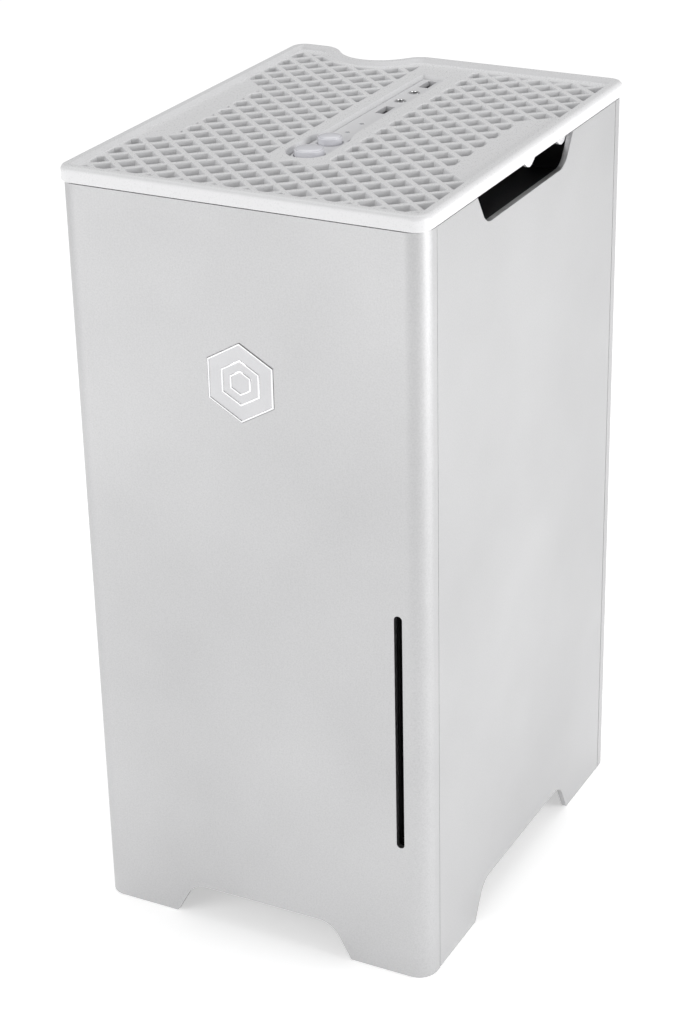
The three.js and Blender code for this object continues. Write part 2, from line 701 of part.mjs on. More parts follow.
function portBezel() {
  const above = channelFloor + 1;
  const apertures = [
    ...USB_Y.map((y) => {
      const [halfMouthX, halfMouthY] = USB_MOUTH.map((size) => size / 2);
      return block([-halfMouthX, y - halfMouthY, bezelUnderside - 1], [halfMouthX, y + halfMouthY, above]);
    }),
    ...JACK_Y.map((y) => cylinder(JACK_RADIUS + FIT, bezelUnderside - 1, above, 0, y, 20)),
    ...LED_Y.map((y) => cylinder(LED_RADIUS + FIT, bezelUnderside - 1, above, 0, y, 10)),
    ...buttons.map(({ y, radius }) =>
      cylinder(radius + FIT, bezelUnderside - BUTTON_WELL, above, 0, y, 24),
    ),
  ];
  const shell = prism("z", bezelOutline(0), trayTop + FIT, channelFloor);
  const inside = prism("z", bezelOutline(BEZEL_WALL), trayTop, bezelUnderside);
  return cut(shell, inside, ...apertures);
}

add("port_bezel", portBezel(), whitePlastic);

const halfBoard = CHANNEL_HALF_WIDTH - CHANNEL_SLOPE - 2 * FIT - BEZEL_WALL;
const portBoardFront = POWER_BUTTON.y - SWITCH_BODY / 2 - 1;
const portBoardRear = CHANNEL_REAR_Y - CHANNEL_SLOPE - BEZEL_WALL - 2 * FIT;
const portBoard = block(
  [-halfBoard, portBoardFront, portBoardTop - BOARD_THICKNESS],
  [halfBoard, portBoardRear, portBoardTop],
);
add("port_board", portBoard, greenBoard);

const halfTray = BUTTON_POCKET_HALF_WIDTH;
const tray = block([-halfTray, -plateY, trayTop - STEEL], [halfTray, plateY, trayTop]);
add("port_tray", tray, blackSteel);

function usbSocket() {
  const [mouthX, mouthY] = USB_MOUTH;
  const outerX = mouthX / 2 + USB_SHELL;
  const outerY = mouthY / 2 + USB_SHELL;
  const shell = block([-outerX, -outerY, 0], [outerX, outerY, USB_LENGTH]);
  return cut(shell, block([-mouthX / 2, -mouthY / 2, 2], [mouthX / 2, mouthY / 2, USB_LENGTH + 1]));
}

USB_Y.forEach((y, i) => {
  add(`usb_socket_${i + 1}`, usbSocket(), polished, [0, y, portBoardTop + FIT]);
});

// A turned sleeve, closed at the bottom, whose lip stands just proud of the bezel.
function jackSleeve() {
  const top = channelFloor + 0.3 - portBoardTop - FIT;
  const profile = [[0, 0], [JACK_RADIUS, 0], [JACK_RADIUS, top], [JACK_BORE, top], [JACK_BORE, 2], [0, 2]];
  const points = profile.map(([radius, height]) => new THREE.Vector2(radius, height));
  return new THREE.LatheGeometry(points, 16).rotateX(Math.PI / 2);
}

["headphone_jack", "microphone_jack"].forEach((name, i) => {
  add(name, jackSleeve(), polished, [0, JACK_Y[i], portBoardTop + FIT]);
});

["power_light", "drive_light"].forEach((name, i) => {
  const pipe = cylinder(LED_RADIUS, portBoardTop + FIT, channelFloor + 0.1, 0, LED_Y[i], 10);
  add(name, pipe, lightPipe);
});

// A domed key with two ears that catch under the bezel and a stem that reaches its switch.
function buttonKey(radius) {
  const rim = channelFloor + BUTTON_RIM_RISE;
  const earTop = bezelUnderside - FIT;
  const skirtFoot = earTop - BUTTON_WALL;
  const earReach = radius + FIT + BUTTON_EAR;
  const stemFoot = portBoardTop + FIT + SWITCH_HEIGHT + FIT + BUTTON_TRAVEL;
  const steps = 3;
  const dome = Array.from({ length: steps + 1 }, (_, i) => {
    const lean = (i / steps) * (Math.PI / 2);
    return [radius * Math.cos(lean), rim + BUTTON_DOME * Math.sin(lean)];
  });
  const profile = [
    [0, stemFoot],
    [PLUNGER_RADIUS, stemFoot],
    [PLUNGER_RADIUS, skirtFoot],
    [radius, skirtFoot],
    ...dome.slice(0, -1),
    [0, rim + BUTTON_DOME],
  ];
  const points = profile.map(([across, height]) => new THREE.Vector2(across, height));
  const turned = new THREE.LatheGeometry(points, 24).rotateX(Math.PI / 2);
  const half = BUTTON_EAR_WIDTH / 2;
  return join(turned, block([-half, -earReach, skirtFoot], [half, earReach, earTop]));
}

["power", "reset"].forEach((name, i) => {
  const { y, radius } = buttons[i];
  add(`${name}_button`, buttonKey(radius), milkyPlastic, [0, y, 0]);
  const half = SWITCH_BODY / 2;
  const foot = portBoardTop + FIT;
  const body = block([-half, -half, foot], [half, half, foot + SWITCH_HEIGHT - 1]);
  const cap = cylinder(PLUNGER_RADIUS, foot + 1, foot + SWITCH_HEIGHT, 0, 0, 16);
  add(`${name}_switch`, join(body, cap), blackPlastic, [0, y, 0]);
});

// ---------------------------------------------------------------- steel chassis

// A plate whose two sides are folded inwards, drawn as the front one.
function foldedPlate() {
  const inner = FOLD_RADIUS - STEEL;
  const outline = rounded([
    [-frameX, -frameY + FLANGE],
    [-frameX, -frameY, FOLD_RADIUS],
    [frameX, -frameY, FOLD_RADIUS],
    [frameX, -frameY + FLANGE],
    [frameX - STEEL, -frameY + FLANGE],
    [frameX - STEEL, -frameY + STEEL, inner],
    [-frameX + STEEL, -frameY + STEEL, inner],
    [-frameX + STEEL, -frameY + FLANGE],
  ]);
  return prism("z", outline, FLOOR_Z, frameTop);
}

const discWay = prism("y", slotShape(1), -frameY - 1, -frameY + STEEL + 1);
add("chassis_front", cut(foldedPlate(), discWay), blackSteel);
add("chassis_rear", foldedPlate(), blackSteel).rotation.z = Math.PI;

const fanHole = FAN_SIZE / 2 - FAN_HOLE_LIP;
const foldInside = FOLD_RADIUS - STEEL;
const plateOutline = rectangle(-plateX, -plateY, plateX, plateY, foldInside);
const floorPlate = prism("z", plateOutline, FLOOR_Z, floorTop);
const floorHole = cylinder(fanHole, FLOOR_Z - 1, floorTop + 1, 0, 0, 48);
add("chassis_floor", cut(floorPlate, floorHole), blackSteel);

// The side plate that carries the main board on four pressed bosses.
function boardTray() {
  const end = plateY - foldInside;
  const plate = block([-plateX, -end, floorTop + FIT], [-plateX + STEEL, end, deckFoot - FIT]);
  const bosses = [boardFront + BOSS_INSET, boardRear - BOSS_INSET].flatMap((y) =>
    [boardTop - BOSS_INSET, boardTop - ITX + BOSS_INSET].map((z) =>
      cylinder(BOSS_RADIUS, -plateX + STEEL / 2, boardX - FIT, 0, 0, 12)
        .rotateY(Math.PI / 2)
        .translate(0, y, z),
    ),
  );
  return join(plate, ...bosses);
}
add("board_tray", boardTray(), blackSteel);

// The hollow behind each hand grip.
function gripCup(side) {
  const front = GRIP_Y - GRIP_LENGTH / 2;
  const rear = GRIP_Y + GRIP_LENGTH / 2;
  const outer = side * cupOuterX;
  const inner = side * (cupOuterX - CUP_DEPTH);
  const wall = CUP_WALL;
  const shellRadius = CUP_END_RADIUS + wall;
  const shell = rounded([
    [outer, front - wall],
    [outer, rear + wall],
    [inner - side * wall, rear + wall, shellRadius],
    [inner - side * wall, front - wall, shellRadius],
  ]);
  const hollow = rounded([
    [outer + side, front],
    [outer + side, rear],
    [inner, rear, CUP_END_RADIUS],
    [inner, front, CUP_END_RADIUS],
  ]);
  return cut(prism("z", shell, cupFloor - wall, cupTop), prism("z", hollow, cupFloor, cupTop + 1));
}

add("left_grip_cup", gripCup(-1), blackPlastic);
add("right_grip_cup", gripCup(1), blackPlastic);

// ---------------------------------------------------------------- feet

// Moulded rubber feet under the corners of the floor, each a block on a round pad.
const footX = plateX - FOOT_SIZE / 2;
const footY = plateY - FOOT_SIZE / 2;
const corners = { front_left: [-1, -1], front_right: [1, -1], rear_left: [-1, 1], rear_right: [1, 1] };
Object.entries(corners).forEach(([corner, [x, y]]) => {
  const half = FOOT_SIZE / 2;
  const leg = prism("z", rectangle(-half, -half, half, half, FOOT_RADIUS), PAD_HEIGHT, FLOOR_Z - FIT);
  const foot = join(leg, cylinder(PAD_RADIUS, 0, PAD_HEIGHT + 1, 0, 0, 24));
  add(`foot_${corner}`, foot, blackRubber, [x * footX, y * footY, 0]);
});

// ---------------------------------------------------------------- fans

// A square fan frame on z = 0, with its motor plate and four struts at the bottom.
function fanFrame(size, thickness) {
  const half = size / 2;
  const bore = half - FAN_FRAME_WALL;
  const hub = size * FAN_HUB_SHARE;
  const frame = prism("z", rectangle(-half, -half, half, half, size / 14), 0, thickness);
  const strutSide = STRUT_WIDTH / 2;
  const strut = () => block([-bore - 1, -strutSide, 0], [bore + 1, strutSide, MOTOR_THICKNESS]);
  return join(
    cut(frame, cylinder(bore, -1, thickness + 1, 0, 0, 40)),
    cylinder(hub, 0, MOTOR_THICKNESS, 0, 0, 24),
    strut().rotateZ(Math.PI / 4),
    strut().rotateZ((3 * Math.PI) / 4),
  );
}

// A hub with pitched blades, turning about +Z, that fits a frame of the same size.
function fanRotor(size, height, blades) {
  const hub = size * FAN_HUB_SHARE;
  const tip = size / 2 - FAN_FRAME_WALL - FAN_CLEARANCE;
  const widest = height / Math.sin(BLADE_PITCH);
  const chord = Math.min((2 * Math.PI * hub * BLADE_OVERLAP) / blades, widest);
  const span = tip - hub + BLADE_ROOT;
  const blade = (i) =>
    new THREE.BoxGeometry(span, chord, BLADE_THICKNESS)
      .rotateX(BLADE_PITCH)
      .translate(tip - span / 2, 0, height / 2)
      .rotateZ((2 * Math.PI * i) / blades);
  const all = Array.from({ length: blades }, (_, i) => blade(i));
  return join(cylinder(hub, 0, height, 0, 0, 24), ...all);
}

const bottomFan = new THREE.Group();
bottomFan.position.z = floorTop + FIT;
tower.add(bottomFan);
const rotorLift = MOTOR_THICKNESS + FIT;
const bottomRotorHeight = FAN_THICKNESS - rotorLift - FAN_ROTOR_DROP;
add("bottom_fan_frame", fanFrame(FAN_SIZE, FAN_THICKNESS), blackPlastic, [0, 0, 0], bottomFan);
const bottomRotor = fanRotor(FAN_SIZE, bottomRotorHeight, FAN_BLADES);
add("bottom_fan_rotor", bottomRotor, blackPlastic, [0, 0, rotorLift], bottomFan);

// A dust filter under the floor: a square frame with crossing bars.
function dustFilter() {
  const half = FAN_SIZE / 2;
  const clear = FAN_SIZE - 2 * FILTER_FRAME;
  const cell = (clear + FILTER_BAR) / FILTER_CELLS;
  const openings = [];
  for (let row = 0; row < FILTER_CELLS; row += 1) {
    for (let column = 0; column < FILTER_CELLS; column += 1) {
      const x = -clear / 2 + column * cell;
      const y = -clear / 2 + row * cell;
      const side = cell - FILTER_BAR;
      openings.push(block([x, y, -1], [x + side, y + side, FILTER_THICKNESS + 1]));
    }
  }
  const plate = rectangle(-half, -half, half, half, FILTER_RADIUS);
  return cut(prism("z", plate, 0, FILTER_THICKNESS), ...openings);
}

add("dust_filter", dustFilter(), blackPlastic, [0, 0, FLOOR_Z - FIT - FILTER_THICKNESS]);

// ---------------------------------------------------------------- main board

const board = block([boardX, boardFront, boardTop - ITX], [boardFace, boardRear, boardTop]);
add("main_board", board, greenBoard);

// Port blocks along the board's upper edge, in their shield.
const portTop = deckTop + PORT_RISE;
const shieldFront = boardFront + SHIELD_START;
const shieldRear = shieldFront + IO_SHIELD[1];
const shieldLeft = boardFace;
const shieldRight = shieldLeft + IO_SHIELD[0];

function portBlock({ from, to, depth, mouths = [], across = 0, sockets = [] }) {
  const front = shieldFront + from;
  const rear = shieldFront + to;
  const left = boardFace + FIT;
  const middle = (front + rear) / 2;
  const floor = portTop - PORT_MOUTH_DEPTH;
  const above = portTop + 1;
  const body = block([left, front, boardTop - PORT_BLOCK_DROP], [left + depth, rear, portTop]);
  const holes = mouths.map(([near, far]) =>
    block([left + near, middle - across / 2, floor], [left + far, middle + across / 2, above]),
  );
  const bores = sockets.map((y) => cylinder(AUDIO_BORE, floor, above, left + depth / 2, front + y, 14));
  return cut(body, ...holes, ...bores);
}

Object.entries(PORT_BLOCKS).forEach(([name, ports]) => {
  add(name, portBlock(ports), plainSteel);
});

function portShield() {
  const foot = deckTop + FIT;
  const plate = block(
    [shieldLeft - SHIELD_LIP, shieldFront - SHIELD_LIP, foot],
    [shieldRight + SHIELD_LIP, shieldRear + SHIELD_LIP, foot + SHIELD_THICKNESS],
  );
  const windows = Object.values(PORT_BLOCKS).map(({ from, to, depth }) =>
    block(
      [shieldLeft, shieldFront + from - FIT, foot - 1],
      [shieldLeft + depth + 2 * FIT, shieldFront + to + FIT, foot + 2],
    ),
  );
  return cut(plate, ...windows);
}

add("port_shield", portShield(), plainSteel);

// Processor, its cooler and the memory.
const coolerY = (boardFront + boardRear) / 2 + COOLER_SHIFT;
const coolerZ = boardTop - COOLER_DROP;
const processorLeft = boardFace + FIT;
const coolerLeft = processorLeft + PROCESSOR_HEIGHT + FIT;

const chipHalf = PROCESSOR / 2;
const processor = block([0, -chipHalf, -chipHalf], [PROCESSOR_HEIGHT, chipHalf, chipHalf]);
add("processor", processor, plainSteel, [processorLeft, coolerY, coolerZ]);

function finStack() {
  const half = COOLER / 2;
  const pitch = (COOLER - COOLER_FIN) / (COOLER_FINS - 1);
  const comb = [[0, -half], [0, half]];
  for (let fin = COOLER_FINS - 1; fin >= 0; fin -= 1) {
    const near = -half + fin * pitch;
    comb.push([COOLER_HEIGHT, near + COOLER_FIN], [COOLER_HEIGHT, near]);
    if (fin > 0) comb.push([COOLER_BASE, near], [COOLER_BASE, near - pitch + COOLER_FIN]);
  }
  const shape = new THREE.Shape(comb.map(([x, y]) => new THREE.Vector2(x, y)));
  return prism("z", shape, -half, half);
}

add("processor_cooler", finStack(), bareAluminium, [coolerLeft, coolerY, coolerZ]);

// A fan group whose air axis, its own +Z, is turned to point along +X or -Y.
function placeFan(name, size, thickness, blades, place, turn) {
  const group = new THREE.Group();
  group.position.set(...place);
  group.rotation.set(...turn);
  tower.add(group);
  add(`${name}_frame`, fanFrame(size, thickness), blackPlastic, [0, 0, 0], group);
  const rotor = fanRotor(size, thickness - rotorLift - FAN_ROTOR_DROP, blades);
  add(`${name}_rotor`, rotor, blackPlastic, [0, 0, rotorLift], group);
}

const towardsRight = [0, Math.PI / 2, 0];
const towardsFront = [Math.PI / 2, 0, 0];
const fanLeft = coolerLeft + COOLER_HEIGHT + FIT;
const coolerFanPlace = [fanLeft, coolerY, coolerZ];
placeFan("processor_fan", COOLER, COOLER_FAN_THICKNESS, COOLER_FAN_BLADES, coolerFanPlace, towardsRight);

[0, 1].forEach((i) => {
  const [thickness, length, height] = MEMORY;
  const y = boardRear - MEMORY_INSET[0] - i * MEMORY_PITCH;
  const z = boardTop - ITX + MEMORY_INSET[1];
  const stick = block([0, -thickness / 2, 0], [height, thickness / 2, length]);
  add(`memory_${i + 1}`, stick, greenBoard, [boardFace + FIT, y, z]);
});

// ---------------------------------------------------------------- graphics card

const cardY = boardFront - CARD_GAP; // solder side of the card
const cardLeft = boardFace + CARD_LIFT;
const cardTop = deckFoot - CARD_GAP;
const cardFoot = cardTop - CARD_LENGTH;
const card = block(
  [cardLeft, cardY - BOARD_THICKNESS, cardFoot],
  [cardLeft + CARD_HEIGHT, cardY, cardTop],
);
add("graphics_card", card, greenBoard);

const shroudRear = cardY - BOARD_THICKNESS - FIT;
const shroudFront = shroudRear - CARD_COOLER_THICKNESS;
const shroudMiddleX = cardLeft + CARD_HEIGHT / 2;
const shroudMiddleZ = (cardFoot + cardTop) / 2;
const shroudBody = block(
  [cardLeft + COOLER_MARGIN, shroudFront, cardFoot + COOLER_MARGIN],
  [cardLeft + CARD_HEIGHT - COOLER_MARGIN, shroudRear, cardTop - COOLER_MARGIN],
);
const fanWell = cylinder(CARD_FAN / 2, 0, WELL_DEPTH + 1, 0, 0, 36)
  .rotateX(Math.PI / 2)
  .translate(shroudMiddleX, shroudFront + WELL_DEPTH, shroudMiddleZ);
add("graphics_cooler", cut(shroudBody, fanWell), blackPlastic);
const wellRotorHeight = WELL_DEPTH - 2 * WELL_ROTOR_GAP;
const cardFan = fanRotor(CARD_FAN, wellRotorHeight, CARD_FAN_BLADES);
const cardFanMesh = add("graphics_fan", cardFan, blackPlastic, [
  shroudMiddleX,
  shroudFront + WELL_DEPTH - WELL_ROTOR_GAP,
  shroudMiddleZ,
]);
cardFanMesh.rotation.set(...towardsFront);

const bracketLeft = cardLeft - BRACKET_OFFSET[0];
const bracketRear = cardY + BRACKET_OFFSET[1];
function cardBracket() {
  const [length, width, thickness] = CARD_BRACKET;
  const foot = deckTop + FIT;
  const plate = block(
    [bracketLeft, bracketRear - width, foot],
    [bracketLeft + length, bracketRear, foot + thickness],
  );
  const [slitWidth, slitLength] = BRACKET_SLIT;
  const slitRear = bracketRear - BRACKET_SLIT_START[1];
  const slits = Array.from({ length: BRACKET_SLITS }, (_, i) => {
    const x = bracketLeft + BRACKET_SLIT_START[0] + i * BRACKET_SLIT_PITCH;
    return block([x, slitRear - slitLength, foot - 1], [x + slitWidth, slitRear, foot + 2]);
  });
  return cut(plate, ...slits);
}
add("graphics_bracket", cardBracket(), plainSteel);

// ---------------------------------------------------------------- deck under the cover

const [inletX, inletY] = INLET_PLACE;

function deckPlate() {
  const plate = prism("z", plateOutline, deckFoot, deckTop);
  const ledge = BRACKET_LEDGE;
  const [cardSpan, cardWidth] = CARD_BRACKET;
  const shieldHole = block(
    [shieldLeft + FIT - 1, shieldFront, deckFoot - 1],
    [shieldRight, shieldRear, deckTop + 1],
  );
  const cardHole = block(
    [bracketLeft + ledge, bracketRear - cardWidth + ledge, deckFoot - 1],
    [bracketLeft + cardSpan - ledge, bracketRear - ledge, deckTop + 1],
  );
  const inletHole = block(
    [inletX - INLET[0] / 2 + INLET_EAR, inletY - INLET[1] / 2, deckFoot - 1],
    [inletX + INLET[0] / 2 - INLET_EAR, inletY + INLET[1] / 2, deckTop + 1],
  );
  return cut(plate, shieldHole, cardHole, inletHole);
}
add("deck", deckPlate(), blackSteel);

// The mains inlet: a flanged socket through the deck with three blades.
function mainsInlet() {
  const [flange, width, depth] = INLET;
  const [halfMouthX, halfMouthY] = INLET_MOUTH.map((size) => size / 2);
  const top = INLET_RISE;
  const foot = top - depth;
  const floor = foot + INLET_FLOOR;
  const earY = width / 2 - INLET_EAR_INSET;
  const wellX = halfMouthX + INLET_WALL;
  const wellY = width / 2 - FIT;
  const ears = block([-flange / 2, -earY, FIT], [flange / 2, earY, top]);
  const well = block([-wellX, -wellY, foot], [wellX, wellY, top]);
  const mouth = block([-halfMouthX, -halfMouthY, floor], [halfMouthX, halfMouthY, top + 1]);
  const [bladeX, bladeY] = INLET_BLADE.map((size) => size / 2);
  const blades = INLET_BLADES.map(([x, y]) =>
    block([x - bladeX, y - bladeY, floor - 1], [x + bladeX, y + bladeY, top - INLET_BLADE_DROP]),
  );
  return join(cut(join(ears, well), mouth), ...blades);
}
add("mains_inlet", mainsInlet(), blackPlastic, [inletX, inletY, deckTop]);

// ---------------------------------------------------------------- power supply

const supplyRear = plateY - FIT;
const [supplyWidth, supplyDepth, supplyHeight] = SUPPLY;
const supplyFront = supplyRear - supplyDepth;
const supplyTop = SUPPLY_FOOT + supplyHeight;
const supplyMiddleY = (supplyFront + supplyRear) / 2;
const supplyMiddleZ = (SUPPLY_FOOT + supplyTop) / 2;

function supplyCase() {
  const body = block(
    [-supplyWidth / 2, supplyFront, SUPPLY_FOOT],
    [supplyWidth / 2, supplyRear, supplyTop],
  );
  const well = cylinder(SUPPLY_FAN / 2, 0, WELL_DEPTH + 1, 0, 0, 36)
    .rotateX(Math.PI / 2)
    .translate(0, supplyFront + WELL_DEPTH, supplyMiddleZ);
  const [rockerLength, rockerWidth] = ROCKER;
  const pocketX = rockerLength / 2 + ROCKER_END_GAP;
  const pocketY = rockerWidth / 2 + FIT;
  const pocket = block(
    [ROCKER_X - pocketX, supplyMiddleY - pocketY, supplyTop - ROCKER_POCKET],
    [ROCKER_X + pocketX, supplyMiddleY + pocketY, supplyTop + 1],
  );
  return cut(body, well, pocket);
}
add("power_supply", supplyCase(), plainSteel);
const supplyFan = fanRotor(SUPPLY_FAN, wellRotorHeight, SUPPLY_FAN_BLADES);
const supplyFanPlace = [0, supplyFront + WELL_DEPTH - WELL_ROTOR_GAP, supplyMiddleZ];
add("supply_fan", supplyFan, blackPlastic, supplyFanPlace).rotation.set(...towardsFront);

// A rocker with a shallow saddle on top, pivoting in its pocket.
function rockerKey() {
  const [length, width] = ROCKER;
  const half = length / 2;
  const outline = rounded(
    [[-half, -0.5], [0, -2.4, 3], [half, -0.5], [half, 2.6], [0, 1.4, 8], [-half, 2.6]],
    3,
  );
  return prism("y", outline, -width / 2, width / 2);
}
const rockerPlace = [ROCKER_X, supplyMiddleY, supplyTop - ROCKER_PIVOT_DROP];
add("supply_rocker", rockerKey(), blackPlastic, rockerPlace);

// The internal lead from the mains inlet down to the supply.
const leadTop = deckTop + INLET_RISE - INLET[2] - LEAD_GAP;
const leadFoot = supplyTop + LEAD_GAP;
const leadFootX = inletX - LEAD_SHIFT;
const leadRoute = new THREE.CatmullRomCurve3([
  new THREE.Vector3(inletX, inletY, leadTop),
  new THREE.Vector3(inletX, inletY, leadTop - LEAD_DROP),
  new THREE.Vector3((inletX + leadFootX) / 2, supplyMiddleY, (leadTop + leadFoot) / 2),
  new THREE.Vector3(leadFootX, supplyMiddleY, leadFoot + LEAD_DROP),
  new THREE.Vector3(leadFootX, supplyMiddleY, leadFoot),
]);
const leadSection = new THREE.Shape(arc(0, 0, LEAD_RADIUS, 0, 2 * Math.PI, 8).slice(0, 8));
const lead = new THREE.ExtrudeGeometry(leadSection, { steps: 14, extrudePath: leadRoute });
add("supply_lead", lead, blackRubber);

// ---------------------------------------------------------------- drives

const [slimThickness, slimDepth, slimWidth] = SLIM_DRIVE;

function slotDrive() {
  const front = -plateY + FIT;
  const half = slimThickness / 2;
  const body = block(
    [slotX - half, front, slotZ - slimWidth / 2],
    [slotX + half, front + slimDepth, slotZ + slimWidth / 2],
  );
  const mouthHalf = SLOT_WIDTH / 2 + SLIM_MOUTH_EXTRA;
  const mouthReach = SLOT_LENGTH / 2 - SLIM_MOUTH_END;
  const mouth = block(
    [slotX - mouthHalf, front - 1, slotZ - mouthReach],
    [slotX + mouthHalf, front + SLIM_MOUTH_DEPTH, slotZ + mouthReach],
  );
  return cut(body, mouth);
}
add("disc_drive", slotDrive(), plainSteel);

const discBracketX = slotX + slimThickness / 2 + FIT;
const discBracket = block(
  [discBracketX, -plateY + foldInside, slotZ - SLIM_BRACKET_HALF],
  [discBracketX + STEEL, -plateY + slimDepth + SLIM_BRACKET_EXTRA, slotZ + SLIM_BRACKET_HALF],
);
add("disc_drive_bracket", discBracket, blackSteel);

const driveBracketX = slotX - slimThickness / 2 - FIT - STEEL + DRIVE_BRACKET_STEP;
const driveBracketFoot = slotZ + slimWidth / 2 + DRIVE_BRACKET_RISE;
function driveBracket() {
  const half = DRIVE_BRACKET_SPAN / 2;
  const top = deckFoot - FIT;
  const plate = block([driveBracketX, -half, driveBracketFoot], [driveBracketX + STEEL, half, top]);
  const fold = block([driveBracketX, -half, top - STEEL], [plateX, half, top]);
  return join(plate, fold);
}
add("drive_bracket", driveBracket(), blackSteel);

const [bigThickness, bigWidth, bigLength] = BIG_DRIVE;
const bigRight = driveBracketX - FIT;
const bigTop = deckFoot - BIG_DRIVE_DROP;
const bigDrive = block(
  [bigRight - bigThickness, -bigWidth / 2, bigTop - bigLength],
  [bigRight, bigWidth / 2, bigTop],
);
add("hard_drive", bigDrive, bareAluminium);

const [smallThickness, smallWidth, smallLength] = SMALL_DRIVE;
const smallLeft = driveBracketX + STEEL + FIT;
const smallTop = deckFoot - SMALL_DRIVE_DROP;
const smallDrive = block(
  [smallLeft, -smallWidth / 2, smallTop - smallLength],
  [smallLeft + smallThickness, smallWidth / 2, smallTop],
);
add("solid_state_drive", smallDrive, blackPlastic);

export default tower;
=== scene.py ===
"""A compact desktop computer tower: aluminium skins, a white lattice cover and the parts inside.

Shapes are drawn in millimetres and brought to metres when a piece is finished.
+X is right as seen from the front, +Y is back, +Z is up.
"""

from math import atan2, cos, hypot, pi, radians, sin, tan

import bmesh
import bpy
from mathutils import Matrix, Vector


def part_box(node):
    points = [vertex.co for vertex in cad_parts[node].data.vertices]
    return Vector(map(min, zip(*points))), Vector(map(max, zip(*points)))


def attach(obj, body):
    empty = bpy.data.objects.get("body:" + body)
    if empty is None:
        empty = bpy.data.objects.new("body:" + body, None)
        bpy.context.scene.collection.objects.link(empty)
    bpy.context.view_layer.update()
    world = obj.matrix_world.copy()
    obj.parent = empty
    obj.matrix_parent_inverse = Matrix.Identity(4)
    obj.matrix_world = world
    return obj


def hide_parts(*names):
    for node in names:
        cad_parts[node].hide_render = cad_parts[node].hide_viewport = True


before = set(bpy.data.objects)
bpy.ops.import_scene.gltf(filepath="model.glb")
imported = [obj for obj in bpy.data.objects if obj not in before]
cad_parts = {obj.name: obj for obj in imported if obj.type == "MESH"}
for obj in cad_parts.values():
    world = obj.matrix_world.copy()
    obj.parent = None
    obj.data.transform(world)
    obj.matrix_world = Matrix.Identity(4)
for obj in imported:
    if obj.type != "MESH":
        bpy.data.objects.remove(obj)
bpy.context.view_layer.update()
scene = bpy.context.scene

MM = 0.001

# ------------------------------------------------------------------ sizes, in millimetres


def span(node):
    """A CAD node's lowest and highest corners."""
    low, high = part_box(node)
    return low / MM, high / MM


front_low, front_high = span("front_panel")
side_low, side_high = span("right_side_panel")
cover_high = span("top_cover")[1]
bezel_low = span("port_bezel")[0]
badge_low, badge_high = span("front_badge")
cup_low, cup_high = span("right_grip_cup")

HALF_X = side_high.x
HALF_Y = -front_low.y
SKIN_FOOT = front_low.z
SKIN_TOP = front_high.z
SKIN = side_high.x - side_low.x
CORNER_RADIUS = 10
SEAM_Y = -front_high.y
SIDE_END_Y = side_high.y

FOOT_CUT_HEIGHT = 19.1
FOOT_CUT_RUN = FOOT_CUT_HEIGHT / tan(radians(61))
FOOT_CUT_FILLET = 12
FRONT_LEG = 43
SIDE_LEG_FRONT = 56.2
SIDE_LEG_REAR = 58.8

GRIP_LENGTH = 111.5
GRIP_HEIGHT = 15.2
GRIP_Y = -6.7
GRIP_RUN = GRIP_HEIGHT / tan(radians(58))
GRIP_FILLET = 10

SLOT_WIDTH = 4.2
SLOT_LENGTH = 127
SLOT_X = HALF_X - 14.7
SLOT_Z = SKIN_FOOT + 74.3 + SLOT_LENGTH / 2

BADGE_FLATS = 34.2
BADGE_RIM = 0.85
BADGE_SINK = 0.35
BADGE_SEAT = 0.8
RING_WIDTH = 0.9
RING_FLATS = (20, 11)
BADGE_Z = (badge_low.z + badge_high.z) / 2 - 0.5

COVER_X = cover_high.x
COVER_Y = cover_high.y
COVER_TOP = cover_high.z
COVER_FOOT = SKIN_TOP + 0.5
COVER_CORNER = 8
COVER_EDGE = 2.4
COVER_WALL = 2.5
RIM_WIDTH = 5
RIM_SLOPE = 1.4
RIM_HEIGHT = 2
LATTICE_TOP = COVER_TOP - RIM_HEIGHT
LATTICE_FOOT = LATTICE_TOP - 8
PITCH_X = 17
PITCH_Y = 15.2
RIB = 4.6
RIB_ROUND = 0.9
RIB_TAPER = (0.6, 2.6)
OPENING_ROUND = 1.1
SMALLEST_OPENING = 5  # square millimetres
FIRST_ROW_Y = -104.3
FIRST_COLUMN_X = 0.9
FIELD_X = COVER_X - 8
FIELD_FRONT = COVER_Y - 7
FIELD_REAR = COVER_Y - 13.3
STRIP_X = 16.2
STRIP_FRONT = -62.5
STRIP_ROUND = 8.3
PATCH_X = FIELD_X - 15.5
PATCH_FRONT = -45
PATCH_REAR = 32
NOTCH_X = -45.5
NOTCH_HALF = 30
NOTCH_DEPTH = 15.5
NOTCH_BOW = 24
NOTCH_CENTRE_Y = COVER_Y - NOTCH_DEPTH + NOTCH_BOW
TAB_Y = (4, 43)
TAB_DROP = 6
TAB_HALF = 12
TAB_THICKNESS = 1.6

CHANNEL_X = 7.9
CHANNEL_DEPTH = 2.2
CHANNEL_SLOPE = 1
CHANNEL_FLOOR = LATTICE_TOP - CHANNEL_DEPTH
CHANNEL_FRONT = -58
CHANNEL_REAR = 93
POCKET_X = 10.6
POCKET_REAR = -19
POCKET_GAP = 1.3
FIT = 0.4

USB_Y = (83.4, 33.9)
USB_MOUTH = (5.1, 12.5)
USB_WALL = 0.4
JACK_Y = (67, 51)
JACK_HOLE = 3.05
LIGHT_Y = (8.3, -6.8)
LIGHT_HOLE = 1.2
BEZEL_THICKNESS = 2.4
BUTTONS = {"power": (-46, 7.2), "reset": (-25, 6)}
KEY_RISE = 0.5

# ------------------------------------------------------------------ ways of looking at a drawing

